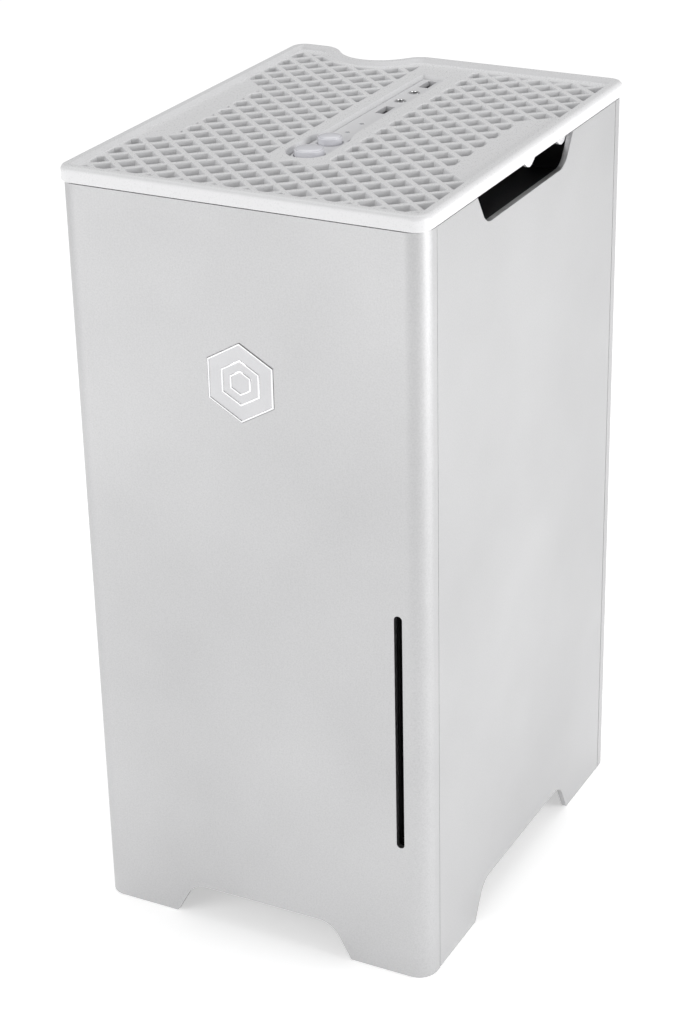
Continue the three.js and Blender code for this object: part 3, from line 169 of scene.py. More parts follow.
FROM_ABOVE = Matrix.Identity(4)
FROM_FRONT = Matrix(((1, 0, 0, 0), (0, 0, -1, 0), (0, 1, 0, 0), (0, 0, 0, 1)))
FROM_RIGHT = Matrix(((0, 0, 1, 0), (1, 0, 0, 0), (0, 1, 0, 0), (0, 0, 0, 1)))
HALF_TURN = Matrix.Rotation(pi, 4, "Z")

# ------------------------------------------------------------------ mesh helpers


def closed_face(bm, corners, low, segments):
    """A flat face through (u, v, fillet) corners, facing up, with its fillets rounded."""
    points = [bm.verts.new((u, v, low)) for u, v, _ in corners]
    fillets = []
    for i, (point, corner) in enumerate(zip(points, corners)):
        before = (points[i - 1].co - point.co).normalized()
        after = (points[(i + 1) % len(points)].co - point.co).normalized()
        turn = pi - before.angle(after)
        fillets.append(corner[2] * tan(turn / 2))
    face = bm.faces.new(points)
    for point, reach in zip(points, fillets):
        if reach > 0:
            bmesh.ops.bevel(
                bm, geom=[point], offset=reach, offset_type="OFFSET", affect="VERTICES",
                segments=segments, profile=0.5, material=-1,
            )
    face = bm.faces[:][-1] if not face.is_valid else face
    if face.normal.z < 0:
        face.normal_flip()
    return face


def raised(bm, faces, height):
    """Faces pushed up by a height, and their new tops."""
    edges = {edge for face in faces for edge in face.edges}
    grown = bmesh.ops.extrude_face_region(bm, geom=[*faces, *edges])["geom"]
    points = [part for part in grown if isinstance(part, bmesh.types.BMVert)]
    bmesh.ops.translate(bm, verts=points, vec=(0, 0, height))
    return [part for part in grown if isinstance(part, bmesh.types.BMFace)]


def block_out(corners, low, steps, segments=10):
    """A closed solid grown upwards from an outline. Each step is (draw in, rise)."""
    bm = bmesh.new()
    top = [closed_face(bm, corners, low, segments)]
    for draw_in, rise in steps:
        top = raised(bm, top, 0 if draw_in else rise)
        if draw_in:
            shift_in(top, draw_in, rise)
    return bm


def shift_in(faces, draw_in, rise):
    """Draws the top faces in by an even amount and lifts them."""
    for face in faces:
        points = [loop.vert for loop in face.loops]
        moved = []
        for i, point in enumerate(points):
            back = (point.co - points[i - 1].co).normalized()
            ahead = (points[(i + 1) % len(points)].co - point.co).normalized()
            inward = Vector((-(back.y + ahead.y), back.x + ahead.x, 0)).normalized()
            slant = max(inward.dot(Vector((-back.y, back.x, 0))), 0.3)
            moved.append(point.co + inward * (draw_in / slant) + Vector((0, 0, rise)))
        for point, place in zip(points, moved):
            point.co = place


def rounding(radius, steps=4):
    """Steps (draw in, rise) that round a top edge off."""
    angles = [i * pi / 2 / steps for i in range(steps + 1)]
    return [
        (radius * (cos(a) - cos(b)), radius * (sin(b) - sin(a)))
        for a, b in zip(angles, angles[1:])
    ]


def shape(bm, view=FROM_ABOVE, name="shape"):
    """A drawing as an object, turned to the way it was looked at."""
    bmesh.ops.transform(bm, matrix=view, verts=bm.verts)
    bmesh.ops.recalc_face_normals(bm, faces=bm.faces)
    mesh = bpy.data.meshes.new(name)
    bm.to_mesh(mesh)
    bm.free()
    piece = bpy.data.objects.new(name, mesh)
    scene.collection.objects.link(piece)
    return piece


def settle(piece):
    """Applies a piece's modifiers to its mesh."""
    graph = bpy.context.evaluated_depsgraph_get()
    mesh = bpy.data.meshes.new_from_object(piece.evaluated_get(graph))
    piece.modifiers.clear()
    piece.data = mesh


def combine(piece, *others, how="DIFFERENCE"):
    """Cuts other shapes out of a piece, or joins them on."""
    for other in others:
        step = piece.modifiers.new(how, "BOOLEAN")
        step.operation = how
        step.solver = "MANIFOLD"
        step.object = other
        settle(piece)
        bpy.data.objects.remove(other)
    return piece


def block(low, high, name="block"):
    """A block between two corners."""
    bm = bmesh.new()
    bmesh.ops.create_cube(bm, size=1)
    size = Vector(high) - Vector(low)
    bmesh.ops.scale(bm, vec=size, verts=bm.verts)
    bmesh.ops.translate(bm, vec=Vector(low) + size / 2, verts=bm.verts)
    return shape(bm, name=name)


def turned(profile, place, sides=40, name="turned"):
    """A profile of (radius, height) points spun about an upright line."""
    bm = bmesh.new()
    points = [bm.verts.new((radius, 0, height)) for radius, height in profile]
    edges = [bm.edges.new(pair) for pair in zip(points, points[1:])]
    bmesh.ops.spin(
        bm, geom=points + edges, cent=(0, 0, 0), axis=(0, 0, 1), angle=2 * pi,
        steps=sides, use_merge=True,
    )
    bmesh.ops.remove_doubles(bm, verts=bm.verts, dist=0.0005)
    bmesh.ops.translate(bm, vec=place, verts=bm.verts)
    return shape(bm, name=name)


def peg(radius, low, high, x=0, y=0, sides=40):
    """An upright cylinder."""
    return turned([(0, low), (radius, low), (radius, high), (0, high)], (x, y, 0), sides)


def finish(piece, name, body, material, replaced=(), edge=0.0, angle=35, segments=2):
    """Softens a piece's edges, brings it to metres and fixes it to its body."""
    if edge:
        soften = piece.modifiers.new("soften", "BEVEL")
        soften.width = edge
        soften.segments = segments
        soften.limit_method = "ANGLE"
        soften.angle_limit = radians(angle)
        soften.use_clamp_overlap = True
        settle(piece)
    piece.data.transform(Matrix.Scale(MM, 4))
    piece.data.shade_smooth()
    piece.data.set_sharp_from_angle(angle=radians(angle))
    weigh = piece.modifiers.new("weigh", "WEIGHTED_NORMAL")
    weigh.keep_sharp = True
    weigh.weight = 80
    settle(piece)
    piece.name = name
    piece.data.name = name
    piece.data.materials.clear()
    piece.data.materials.append(material)
    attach(piece, body)
    if replaced:
        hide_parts(*replaced)
    return piece


# ------------------------------------------------------------------ materials


def grained(
    name, tones, patch, roughness, grain, bump, metallic=0.0, coat=0.0, specular=0.5,
    stretch=(1, 1, 1), sheen=0.0, depth=0.00002,
):
    """A finish whose tone drifts over patches and whose gloss and relief follow a fine grain."""
    material = bpy.data.materials.new(name)
    material.use_nodes = True
    tree = material.node_tree
    shader = tree.nodes["Principled BSDF"]
    shader.inputs["Metallic"].default_value = metallic
    shader.inputs["Coat Weight"].default_value = coat
    shader.inputs["Specular IOR Level"].default_value = specular
    shader.inputs["Sheen Weight"].default_value = sheen

    place = tree.nodes.new("ShaderNodeTexCoord")
    mapping = tree.nodes.new("ShaderNodeMapping")
    mapping.inputs["Scale"].default_value = stretch
    tree.links.new(place.outputs["Object"], mapping.inputs["Vector"])

    drift = tree.nodes.new("ShaderNodeTexNoise")
    drift.inputs["Scale"].default_value = patch
    drift.inputs["Detail"].default_value = 3
    tree.links.new(mapping.outputs["Vector"], drift.inputs["Vector"])
    fine = tree.nodes.new("ShaderNodeTexNoise")
    fine.inputs["Scale"].default_value = grain
    fine.inputs["Detail"].default_value = 2
    tree.links.new(mapping.outputs["Vector"], fine.inputs["Vector"])

    tone = tree.nodes.new("ShaderNodeValToRGB")
    tone.color_ramp.elements[0].position = 0.3
    tone.color_ramp.elements[1].position = 0.7
    tone.color_ramp.elements[0].color = (*tones[0], 1)
    tone.color_ramp.elements[1].color = (*tones[1], 1)
    blend = tree.nodes.new("ShaderNodeMix")
    blend.inputs["Factor"].default_value = 0.5
    tree.links.new(drift.outputs["Fac"], blend.inputs["A"])
    tree.links.new(fine.outputs["Fac"], blend.inputs["B"])
    tree.links.new(blend.outputs["Result"], tone.inputs["Fac"])
    tree.links.new(tone.outputs["Color"], shader.inputs["Base Color"])

    gloss = tree.nodes.new("ShaderNodeMapRange")
    gloss.inputs["From Min"].default_value = 0.3
    gloss.inputs["From Max"].default_value = 0.7
    gloss.inputs["To Min"].default_value = roughness[0]
    gloss.inputs["To Max"].default_value = roughness[1]
    tree.links.new(fine.outputs["Fac"], gloss.inputs["Value"])
    tree.links.new(gloss.outputs["Result"], shader.inputs["Roughness"])

    relief = tree.nodes.new("ShaderNodeBump")
    relief.inputs["Strength"].default_value = bump
    relief.inputs["Distance"].default_value = depth
    tree.links.new(fine.outputs["Fac"], relief.inputs["Height"])
    tree.links.new(relief.outputs["Normal"], shader.inputs["Normal"])
    return material


anodised = grained(
    "bead_blasted_anodising", ((0.465, 0.465, 0.47), (0.615, 0.615, 0.62)), 7,
    (0.30, 0.48), 1250, 0.5, metallic=0.97,
)
moulded_white = grained(
    "moulded_white", ((0.812, 0.812, 0.82), (0.824, 0.824, 0.832)), 14,
    (0.26, 0.32), 1500, 0.02,
)
bezel_white = grained(
    "satin_white_bezel", ((0.752, 0.752, 0.765), (0.764, 0.764, 0.777)), 20,
    (0.30, 0.38), 1900, 0.03,
)
milky = grained(
    "milky_key", ((0.74, 0.74, 0.79), (0.80, 0.80, 0.84)), 60, (0.08, 0.14), 1200, 0.05, coat=0.6,
)
powder_black = grained(
    "black_powder_coat", ((0.008, 0.008, 0.009), (0.016, 0.016, 0.017)), 25,
    (0.42, 0.6), 1400, 0.6,
)
black_moulding = grained(
    "black_moulding", ((0.008, 0.008, 0.009), (0.015, 0.015, 0.016)), 25,
    (0.35, 0.5), 1800, 0.3,
)
soft_rubber = grained(
    "soft_black_rubber", ((0.012, 0.012, 0.012), (0.022, 0.022, 0.022)), 30,
    (0.7, 0.9), 900, 0.5, specular=0.3,
)
solder_mask = grained(
    "green_solder_mask", ((0.010, 0.055, 0.028), (0.022, 0.095, 0.05)), 90,
    (0.28, 0.42), 700, 0.4, coat=0.2,
)
plated_steel = grained(
    "plated_sheet_steel", ((0.50, 0.51, 0.52), (0.62, 0.63, 0.64)), 40,
    (0.28, 0.42), 1600, 0.3, metallic=1.0, stretch=(1, 1, 12),
)
cast_aluminium = grained(
    "cast_aluminium", ((0.60, 0.61, 0.62), (0.74, 0.75, 0.76)), 30,
    (0.34, 0.5), 1100, 0.6, metallic=1.0,
)
bright_chrome = grained(
    "bright_plating", ((0.80, 0.80, 0.81), (0.88, 0.88, 0.89)), 60,
    (0.05, 0.12), 900, 0.05, metallic=1.0,
)
badge_field = grained(
    "satin_badge_field", ((0.54, 0.54, 0.55), (0.60, 0.60, 0.61)), 60,
    (0.30, 0.40), 1500, 0.05, metallic=1.0,
)
clear_pipe = grained(
    "clear_light_pipe", ((0.45, 0.47, 0.5), (0.55, 0.57, 0.6)), 200, (0.08, 0.2), 900, 0.1, coat=0.5,
)
gold_contacts = grained(
    "gold_contacts", ((0.70, 0.50, 0.22), (0.84, 0.63, 0.30)), 200, (0.15, 0.3), 900, 0.1,
    metallic=1.0,
)
dark_tongue = grained(
    "socket_tongue", ((0.42, 0.42, 0.43), (0.52, 0.52, 0.53)), 200, (0.35, 0.5), 900, 0.2,
)

# ------------------------------------------------------------------ aluminium skins


def foot_cut(left, right):
    """The gap between two feet, seen square on. It reaches below the skin."""
    top = SKIN_FOOT + FOOT_CUT_HEIGHT
    return [
        (left - FOOT_CUT_RUN, SKIN_FOOT - FOOT_CUT_HEIGHT, 0),
        (right + FOOT_CUT_RUN, SKIN_FOOT - FOOT_CUT_HEIGHT, 0),
        (right - FOOT_CUT_RUN, top, FOOT_CUT_FILLET),
        (left + FOOT_CUT_RUN, top, FOOT_CUT_FILLET),
    ]


def wrapped_skin():
    """A skin that wraps round two corners, drawn as the front one."""
    inner = CORNER_RADIUS - SKIN
    outline = [
        (-HALF_X, -SEAM_Y, 0),
        (-HALF_X, -HALF_Y, CORNER_RADIUS),
        (HALF_X, -HALF_Y, CORNER_RADIUS),
        (HALF_X, -SEAM_Y, 0),
        (HALF_X - SKIN, -SEAM_Y, 0),
        (HALF_X - SKIN, -HALF_Y + SKIN, inner),
        (-HALF_X + SKIN, -HALF_Y + SKIN, inner),
        (-HALF_X + SKIN, -SEAM_Y, 0),
    ]
    wrap = shape(block_out(outline, SKIN_FOOT, [(0, SKIN_TOP - SKIN_FOOT)], segments=20))
    leg = HALF_X - FRONT_LEG
    gap = block_out(foot_cut(-leg, leg), HALF_Y - 2 * SKIN, [(0, 3 * SKIN)], segments=12)
    return combine(wrap, shape(gap, FROM_FRONT))


def hexagon(flats, low, steps, segments=3, corner=0.0):
    """A six-sided plate with a point at the top, seen from the front."""
    radius = flats / 3**0.5
    angles = [pi / 2 + i * pi / 3 for i in range(6)]
    outline = [(radius * cos(a), radius * sin(a) + BADGE_Z, corner) for a in angles]
    return shape(block_out(outline, low, steps, segments), FROM_FRONT)


def front_skin():
    """The front skin, with the disc slot and the badge's seat."""
    skin = wrapped_skin()
    half = SLOT_WIDTH / 2
    reach = SLOT_LENGTH / 2
    slot = [
        (SLOT_X - half, SLOT_Z - reach, half * 0.98),
        (SLOT_X + half, SLOT_Z - reach, half * 0.98),
        (SLOT_X + half, SLOT_Z + reach, half * 0.98),
        (SLOT_X - half, SLOT_Z + reach, half * 0.98),
    ]
    way = shape(block_out(slot, HALF_Y - 2 * SKIN, [(0, 3 * SKIN)], segments=8), FROM_FRONT)
    seat = hexagon(BADGE_FLATS + FIT, HALF_Y - BADGE_SEAT, [(0, 3)])
    combine(skin, way, seat)
    finish(skin, "front_skin", "chassis", anodised, ["front_panel"], edge=0.35)


def rear_skin():
    """The front skin's plain twin, turned to the back."""
    skin = wrapped_skin()
    skin.data.transform(HALF_TURN)
    finish(skin, "rear_skin", "chassis", anodised, ["rear_panel"], edge=0.35)


def side_skin(name, body, node, low):
    """A flat skin with two feet and the hand grip's cut-out."""
    leg_front = -HALF_Y + SIDE_LEG_FRONT
    leg_rear = HALF_Y - SIDE_LEG_REAR
    grip_front = GRIP_Y - GRIP_LENGTH / 2
    grip_rear = GRIP_Y + GRIP_LENGTH / 2
    outline = [
        (-SIDE_END_Y, SKIN_FOOT, 0),
        (leg_front, SKIN_FOOT, 0),
        (leg_front + FOOT_CUT_RUN, SKIN_FOOT + FOOT_CUT_HEIGHT, FOOT_CUT_FILLET),
        (leg_rear - FOOT_CUT_RUN, SKIN_FOOT + FOOT_CUT_HEIGHT, FOOT_CUT_FILLET),
        (leg_rear, SKIN_FOOT, 0),
        (SIDE_END_Y, SKIN_FOOT, 0),
        (SIDE_END_Y, SKIN_TOP, 0),
        (grip_rear, SKIN_TOP, 0),
        (grip_rear - GRIP_RUN, SKIN_TOP - GRIP_HEIGHT, GRIP_FILLET),
        (grip_front + GRIP_RUN, SKIN_TOP - GRIP_HEIGHT, GRIP_FILLET),
        (grip_front, SKIN_TOP, 0),
        (-SIDE_END_Y, SKIN_TOP, 0),
    ]
    skin = shape(block_out(outline, low, [(0, SKIN)], segments=12), FROM_RIGHT)
    finish(skin, name, body, anodised, [node], edge=0.35)


front_skin()
rear_skin()
side_skin("right_skin", "right_panel", "right_side_panel", HALF_X - SKIN)
side_skin("left_skin", "left_panel", "left_side_panel", -HALF_X)


def badge():
    """A plain polished hexagon with a rim and two raised rings round a small facet."""
    thickness = badge_high.y - badge_low.y
    back = -badge_high.y
    plate = hexagon(BADGE_FLATS, back, [(0, thickness - 0.2), (0.2, 0.2)])
    field = hexagon(BADGE_FLATS - 2 * BADGE_RIM, back + thickness - BADGE_SINK, [(0, 1)])
    combine(plate, field)
    rings = []
    for flats in RING_FLATS:
        ring = hexagon(flats, back + 0.1, [(0, thickness - 0.3), (0.2, 0.15)])
        combine(ring, hexagon(flats - 2 * RING_WIDTH, back - 1, [(0, 3)]))
        rings.append(ring)
    combine(plate, *rings, how="UNION")
    finish(plate, "hexagon_badge", "chassis", bright_chrome, ["front_badge"], edge=0.08)
    plate.data.materials.append(badge_field)
    level = min(v.co.y for v in plate.data.vertices) + BADGE_SINK * MM
    for face in plate.data.polygons:
        if face.normal.y < -0.9 and abs(face.center.y - level) < 0.05 * MM:
            face.material_index = 1


badge()

# ------------------------------------------------------------------ lattice cover


def cover_outline(draw_in):
    """The cover's corners, drawn in by a margin, with the cable notch in the rear edge."""
    reach = (NOTCH_HALF**2 + NOTCH_DEPTH**2) / (2 * NOTCH_DEPTH)
    outer = reach - NOTCH_BOW
    swing = atan2(NOTCH_HALF, reach - NOTCH_DEPTH)
    x, y = COVER_X - draw_in, COVER_Y - draw_in
    corner = max(COVER_CORNER - draw_in, 0.6)
    shoulder = (outer - draw_in) * tan(swing / 2)
    bow = NOTCH_BOW + draw_in
    return [
        (-x, -y, corner),
        (x, -y, corner),
        (x, y, corner),
        (NOTCH_X + NOTCH_HALF - shoulder, y, (outer - draw_in) * 0.999),
        (NOTCH_X, NOTCH_CENTRE_Y - bow / cos(swing), bow * 0.999),
        (NOTCH_X - NOTCH_HALF + shoulder, y, (outer - draw_in) * 0.999),
        (-x, y, corner),
    ]


def kept_side(points, normal, limit):
    """The part of a convex outline where the distance along the normal is under the limit."""
    kept = []
    for here, there in zip(points, points[1:] + points[:1]):
        a = here[0] * normal[0] + here[1] * normal[1] - limit
        b = there[0] * normal[0] + there[1] * normal[1] - limit
        if a <= 0:
            kept.append(here)
        if a * b < 0:
            share = a / (a - b)
            kept.append(tuple(p + (q - p) * share for p, q in zip(here, there)))
    return kept


def away_from_round(points, x, y, centre, radius):
    """An opening trimmed back from a rounded edge near it."""
    direction = Vector((x - centre[0], y - centre[1])).normalized()
    limit = -(direction.dot(Vector(centre)) + radius)
    return kept_side(points, (-direction.x, -direction.y), limit)


def lattice_opening(x, y, widen):
    """One opening's outline, trimmed where the lattice ends."""
    slant = hypot(PITCH_X, PITCH_Y) / 2
    shrink = (RIB / 2 - widen) * 4 * slant / (PITCH_X * PITCH_Y)
    reach_x = PITCH_X / 2 * (1 - shrink)
    reach_y = PITCH_Y / 2 * (1 - shrink)
    points = [(x - reach_x, y), (x, y - reach_y), (x + reach_x, y), (x, y + reach_y)]
    side = 1 if x > 0 else -1
    points = kept_side(points, (side, 0), FIELD_X + widen)
    points = kept_side(points, (0, -1), FIELD_FRONT + widen)
    points = kept_side(points, (0, 1), FIELD_REAR + widen)
    if y < STRIP_FRONT:
        if abs(x) < STRIP_X - STRIP_ROUND:
            points = kept_side(points, (0, 1), STRIP_FRONT + widen)
        else:
            bend = (side * (STRIP_X - STRIP_ROUND), STRIP_FRONT + STRIP_ROUND)
            if hypot(x - bend[0], y - bend[1]) < STRIP_ROUND + PITCH_X and abs(x) < STRIP_X + 4:
                points = away_from_round(points, x, y, bend, STRIP_ROUND - widen)
    elif abs(x) < STRIP_X:
        points = kept_side(points, (-side, 0), -STRIP_X + widen) if abs(x) > STRIP_X - 6 else []
    else:
        points = kept_side(points, (-side, 0), -STRIP_X + widen)
    steep = PITCH_Y / PITCH_X
    past = max(abs(x) - PATCH_X, 0) * steep
    if PATCH_FRONT - past <= y <= PATCH_REAR + past or (PATCH_FRONT < y < PATCH_REAR):
        points = kept_side(points, (side, 0), PATCH_X + widen)
    elif abs(x) > PATCH_X - PITCH_X / 2:
        length = hypot(steep, 1)
        if y > 0:
            limit = -(PATCH_REAR - PATCH_X * steep) / length + widen
            points = kept_side(points, (side * steep / length, -1 / length), limit)
        else:
            limit = (PATCH_FRONT + PATCH_X * steep) / length + widen
            points = kept_side(points, (side * steep / length, 1 / length), limit)
    from_notch = hypot(x - NOTCH_X, y - NOTCH_CENTRE_Y)
    bow = NOTCH_BOW + COVER_Y - FIELD_REAR - 2
    if from_notch < bow + PITCH_X / 2:
        points = away_from_round(points, x, y, (NOTCH_X, NOTCH_CENTRE_Y), bow - widen)
    return points


def outline_area(points):
    """The area inside an outline."""
    return sum(
        a[0] * b[1] - b[0] * a[1] for a, b in zip(points, points[1:] + points[:1])
    ) / 2


def lattice_cutters():
    """All the openings as one drawing of soft-topped posts, to be cut out of the cover."""
    bm = bmesh.new()
    faces = []
    rows = int(COVER_Y * 4 / PITCH_Y) + 2
    columns = int(COVER_X / PITCH_X) + 2
    for row in range(-1, rows):
        y = FIRST_ROW_Y + row * PITCH_Y / 2
        shift = PITCH_X / 2 if row % 2 == 0 else 0
        for column in range(-columns, columns + 1):
            x = FIRST_COLUMN_X + column * PITCH_X + shift
            points = lattice_opening(x, y, RIB_ROUND + RIB_TAPER[0])
            if len(points) < 3 or outline_area(points) < SMALLEST_OPENING:
                continue
            corners = [bm.verts.new((u, v, -LATTICE_TOP - 3)) for u, v in points]
            faces.append(bm.faces.new(corners))
    bmesh.ops.remove_doubles(bm, verts=bm.verts, dist=0.01)
    bmesh.ops.bevel(
        bm, geom=bm.verts[:], offset=OPENING_ROUND, offset_type="OFFSET", affect="VERTICES",
        segments=2, profile=0.5, material=-1, clamp_overlap=True,
    )
    bm.normal_update()
    top = raised(bm, bm.faces[:], 3)
    bm.normal_update()
    for draw_in, rise in [*rounding(RIB_ROUND, 3)[::-1], RIB_TAPER]:
        top = raised(bm, top, 0)
        shift_in(top, draw_in, rise)
    raised(bm, top, LATTICE_TOP - LATTICE_FOOT + 1 - RIB_ROUND - RIB_TAPER[1])
    upside_down = Matrix.Scale(-1, 4, (0, 0, 1))
    return shape(bm, upside_down, "lattice_openings")


def channel_outline(draw_in):
    """The port channel, a long slot that widens into a pocket for the two keys."""
    narrow = CHANNEL_X - draw_in
    wide = POCKET_X - draw_in
    shoulder = POCKET_REAR - draw_in
    step = 2 * (wide - narrow)
    return [
        (-wide, CHANNEL_FRONT + draw_in, wide * 0.98),
        (wide, CHANNEL_FRONT + draw_in, wide * 0.98),
        (wide, shoulder - step, 4),
        (narrow, shoulder + step, 4),
        (narrow, CHANNEL_REAR - draw_in, 1.2),
        (-narrow, CHANNEL_REAR - draw_in, 1.2),
        (-narrow, shoulder + step, 4),
        (-wide, shoulder - step, 4),
    ]


def strip_outline(widen):
    """The solid band that the lattice stops at, round the port channel."""
    return [
        (-STRIP_X - widen, STRIP_FRONT - widen, STRIP_ROUND),
        (STRIP_X + widen, STRIP_FRONT - widen, STRIP_ROUND),
        (STRIP_X + widen, FIELD_REAR + widen, 0),
        (-STRIP_X - widen, FIELD_REAR + widen, 0),
    ]


def lattice_slab():
    """The deep part of the lattice, inside its margins and clear of the band and patches."""
    wall = COVER_WALL
    height = LATTICE_TOP - LATTICE_FOOT
    field = [
        (-FIELD_X - wall, -FIELD_FRONT - wall, 0),
        (FIELD_X + wall, -FIELD_FRONT - wall, 0),
        (FIELD_X + wall, FIELD_REAR + wall, 0),
        (-FIELD_X - wall, FIELD_REAR + wall, 0),
    ]
    slab = shape(block_out(field, LATTICE_FOOT, [(0, height - 0.01)]))
    band = shape(block_out(strip_outline(-wall), LATTICE_FOOT - 1, [(0, height + 2)]))
    notch = peg(
        NOTCH_BOW + COVER_Y - FIELD_REAR - 2 - wall, LATTICE_FOOT - 1, LATTICE_TOP + 1,
        NOTCH_X, NOTCH_CENTRE_Y, 96,
    )
    combine(slab, band, notch)
    steep = PITCH_Y / PITCH_X
    for side in (-1, 1):
        inner = PATCH_X + wall
        rise = (COVER_X - inner) * steep
        patch = [
            (side * inner, PATCH_FRONT + wall, 0),
            (side * COVER_X, PATCH_FRONT + wall - rise, 0),
            (side * COVER_X, PATCH_REAR - wall + rise, 0),
            (side * inner, PATCH_REAR - wall, 0),
        ]
        combine(slab, shape(block_out(patch, LATTICE_FOOT - 1, [(0, height + 2)])))
    return slab


def snap_tab(side, y):
    """A soft wave under the cover's skirt that snaps behind a side skin."""
    half = TAB_HALF
    drop = TAB_DROP
    root = LATTICE_TOP - COVER_WALL + 0.5
    outline = [(y + half, root, 0), (y - half, root, 0), (y - half, COVER_FOOT, 0)]
    waves = 10
    for i in range(1, waves):
        along = i / waves - 0.5
        outline.append(
            (y + along * 2 * half, COVER_FOOT - drop * (1 + cos(2 * pi * along)) / 2, 0)
        )
    outline.append((y + half, COVER_FOOT, 0))
    outer = side * (HALF_X - SKIN - FIT)
    low = min(outer, outer - side * TAB_THICKNESS)
    return shape(block_out(outline[::-1], low, [(0, TAB_THICKNESS)]), FROM_RIGHT)


def lattice_cover():
    body_steps = [(-0.25, 0.3), (0, COVER_TOP - COVER_EDGE - COVER_FOOT - 0.3)]
    body_steps += rounding(COVER_EDGE, 6)
    cover = shape(block_out(cover_outline(0.25), COVER_FOOT, body_steps, segments=14))
    dish_top = shape(
        block_out(
            cover_outline(RIM_WIDTH + RIM_SLOPE), LATTICE_TOP,
            [(-RIM_SLOPE, RIM_HEIGHT), (0, 3)], segments=14,
        )
    )
    depth = LATTICE_TOP - COVER_WALL - COVER_FOOT + 5
    hollow = shape(block_out(cover_outline(COVER_WALL), COVER_FOOT - 5, [(0, depth)]))
    combine(cover, dish_top, hollow)
    combine(cover, lattice_slab(), how="UNION")
    combine(cover, lattice_cutters())
    walls = shape(
        block_out(channel_outline(-COVER_WALL), CHANNEL_FLOOR - 1, [(0, CHANNEL_DEPTH + 0.99)])
    )
    combine(cover, walls, how="UNION")
    channel = shape(
        block_out(
            channel_outline(CHANNEL_SLOPE), LATTICE_FOOT - 2,
            [(0, CHANNEL_FLOOR - LATTICE_FOOT + 2), (-CHANNEL_SLOPE, CHANNEL_DEPTH), (0, 5)],
            segments=12,
        )
    )
    combine(cover, channel)
    tabs = [snap_tab(side, y) for side in (-1, 1) for y in TAB_Y]
    combine(cover, *tabs, how="UNION")
    finish(cover, "lattice_cover", "cover", moulded_white, ["top_cover"], angle=32)


lattice_cover()

# ------------------------------------------------------------------ ports and keys


def bezel_outline(draw_in):
    """The strip's outline, which follows the channel with a gap."""
    narrow = CHANNEL_X - CHANNEL_SLOPE - FIT - draw_in
    wide = POCKET_X - CHANNEL_SLOPE - POCKET_GAP - draw_in
    front = CHANNEL_FRONT + POCKET_X - wide - draw_in
    shoulder = POCKET_REAR - CHANNEL_SLOPE - POCKET_GAP - draw_in
    rear = CHANNEL_REAR - CHANNEL_SLOPE - FIT - draw_in
    return [
        (-wide, front, wide * 0.98),
        (wide, front, wide * 0.98),
        (wide, shoulder - 2, 1.5),
        (narrow, shoulder + 2, 1.5),
        (narrow, rear, 0.8),
        (-narrow, rear, 0.8),
        (-narrow, shoulder + 2, 1.5),
        (-wide, shoulder - 2, 1.5),
    ]


def port_bezel():
    """The strip in the channel, with holes for its ports, lights and keys."""
    underside = CHANNEL_FLOOR - BEZEL_THICKNESS
    height = CHANNEL_FLOOR - bezel_low.z
    bezel = shape(block_out(bezel_outline(0), bezel_low.z, [(0, height - 0.3)] + rounding(0.3, 2)))
    inside = shape(block_out(bezel_outline(1), bezel_low.z - 1, [(0, underside - bezel_low.z + 1)]))
    combine(bezel, inside)
    half_x, half_y = (size / 2 for size in USB_MOUTH)
    for y in USB_Y:
        mouth_low = (-half_x, y - half_y, underside - 1)
        combine(bezel, block(mouth_low, (half_x, y + half_y, CHANNEL_FLOOR + 1)))
    for y in JACK_Y:
        combine(bezel, peg(JACK_HOLE, underside - 1, CHANNEL_FLOOR + 1, 0, y))
    for y in LIGHT_Y:
        combine(bezel, peg(LIGHT_HOLE, underside - 1, CHANNEL_FLOOR + 1, 0, y, 20))
    for y, radius in BUTTONS.values():
        combine(bezel, peg(radius + FIT, underside - 3, CHANNEL_FLOOR + 1, 0, y, 64))
    finish(bezel, "port_strip", "chassis", bezel_white, ["port_bezel"], edge=0.12)


port_bezel()


def key(name, y, radius):
    """A domed milky key with a bright rim, standing in its well."""
    low, high = span(f"{name}_button")
    top = high.z + KEY_RISE
    rim = top - 1
    profile = [(0, low.z), (1.7, low.z), (1.7, CHANNEL_FLOOR - 4), (radius, CHANNEL_FLOOR - 4)]
    profile += [(radius, rim - 0.5), (radius - 0.15, rim - 0.1), (radius - 0.5, rim + 0.05)]
    profile += [(radius - 0.9, rim - 0.05)]
    dome = radius - 0.9
    profile += [(dome * cos(i * pi / 16), rim - 0.05 + 1.05 * sin(i * pi / 16)) for i in range(1, 8)]
    profile += [(0, top)]
    piece = turned(profile, (0, y, 0), 64)
    finish(piece, f"{name}_key", f"{name}_key", milky, [f"{name}_button"])


for key_name, (key_y, key_radius) in BUTTONS.items():
    key(key_name, key_y, key_radius)


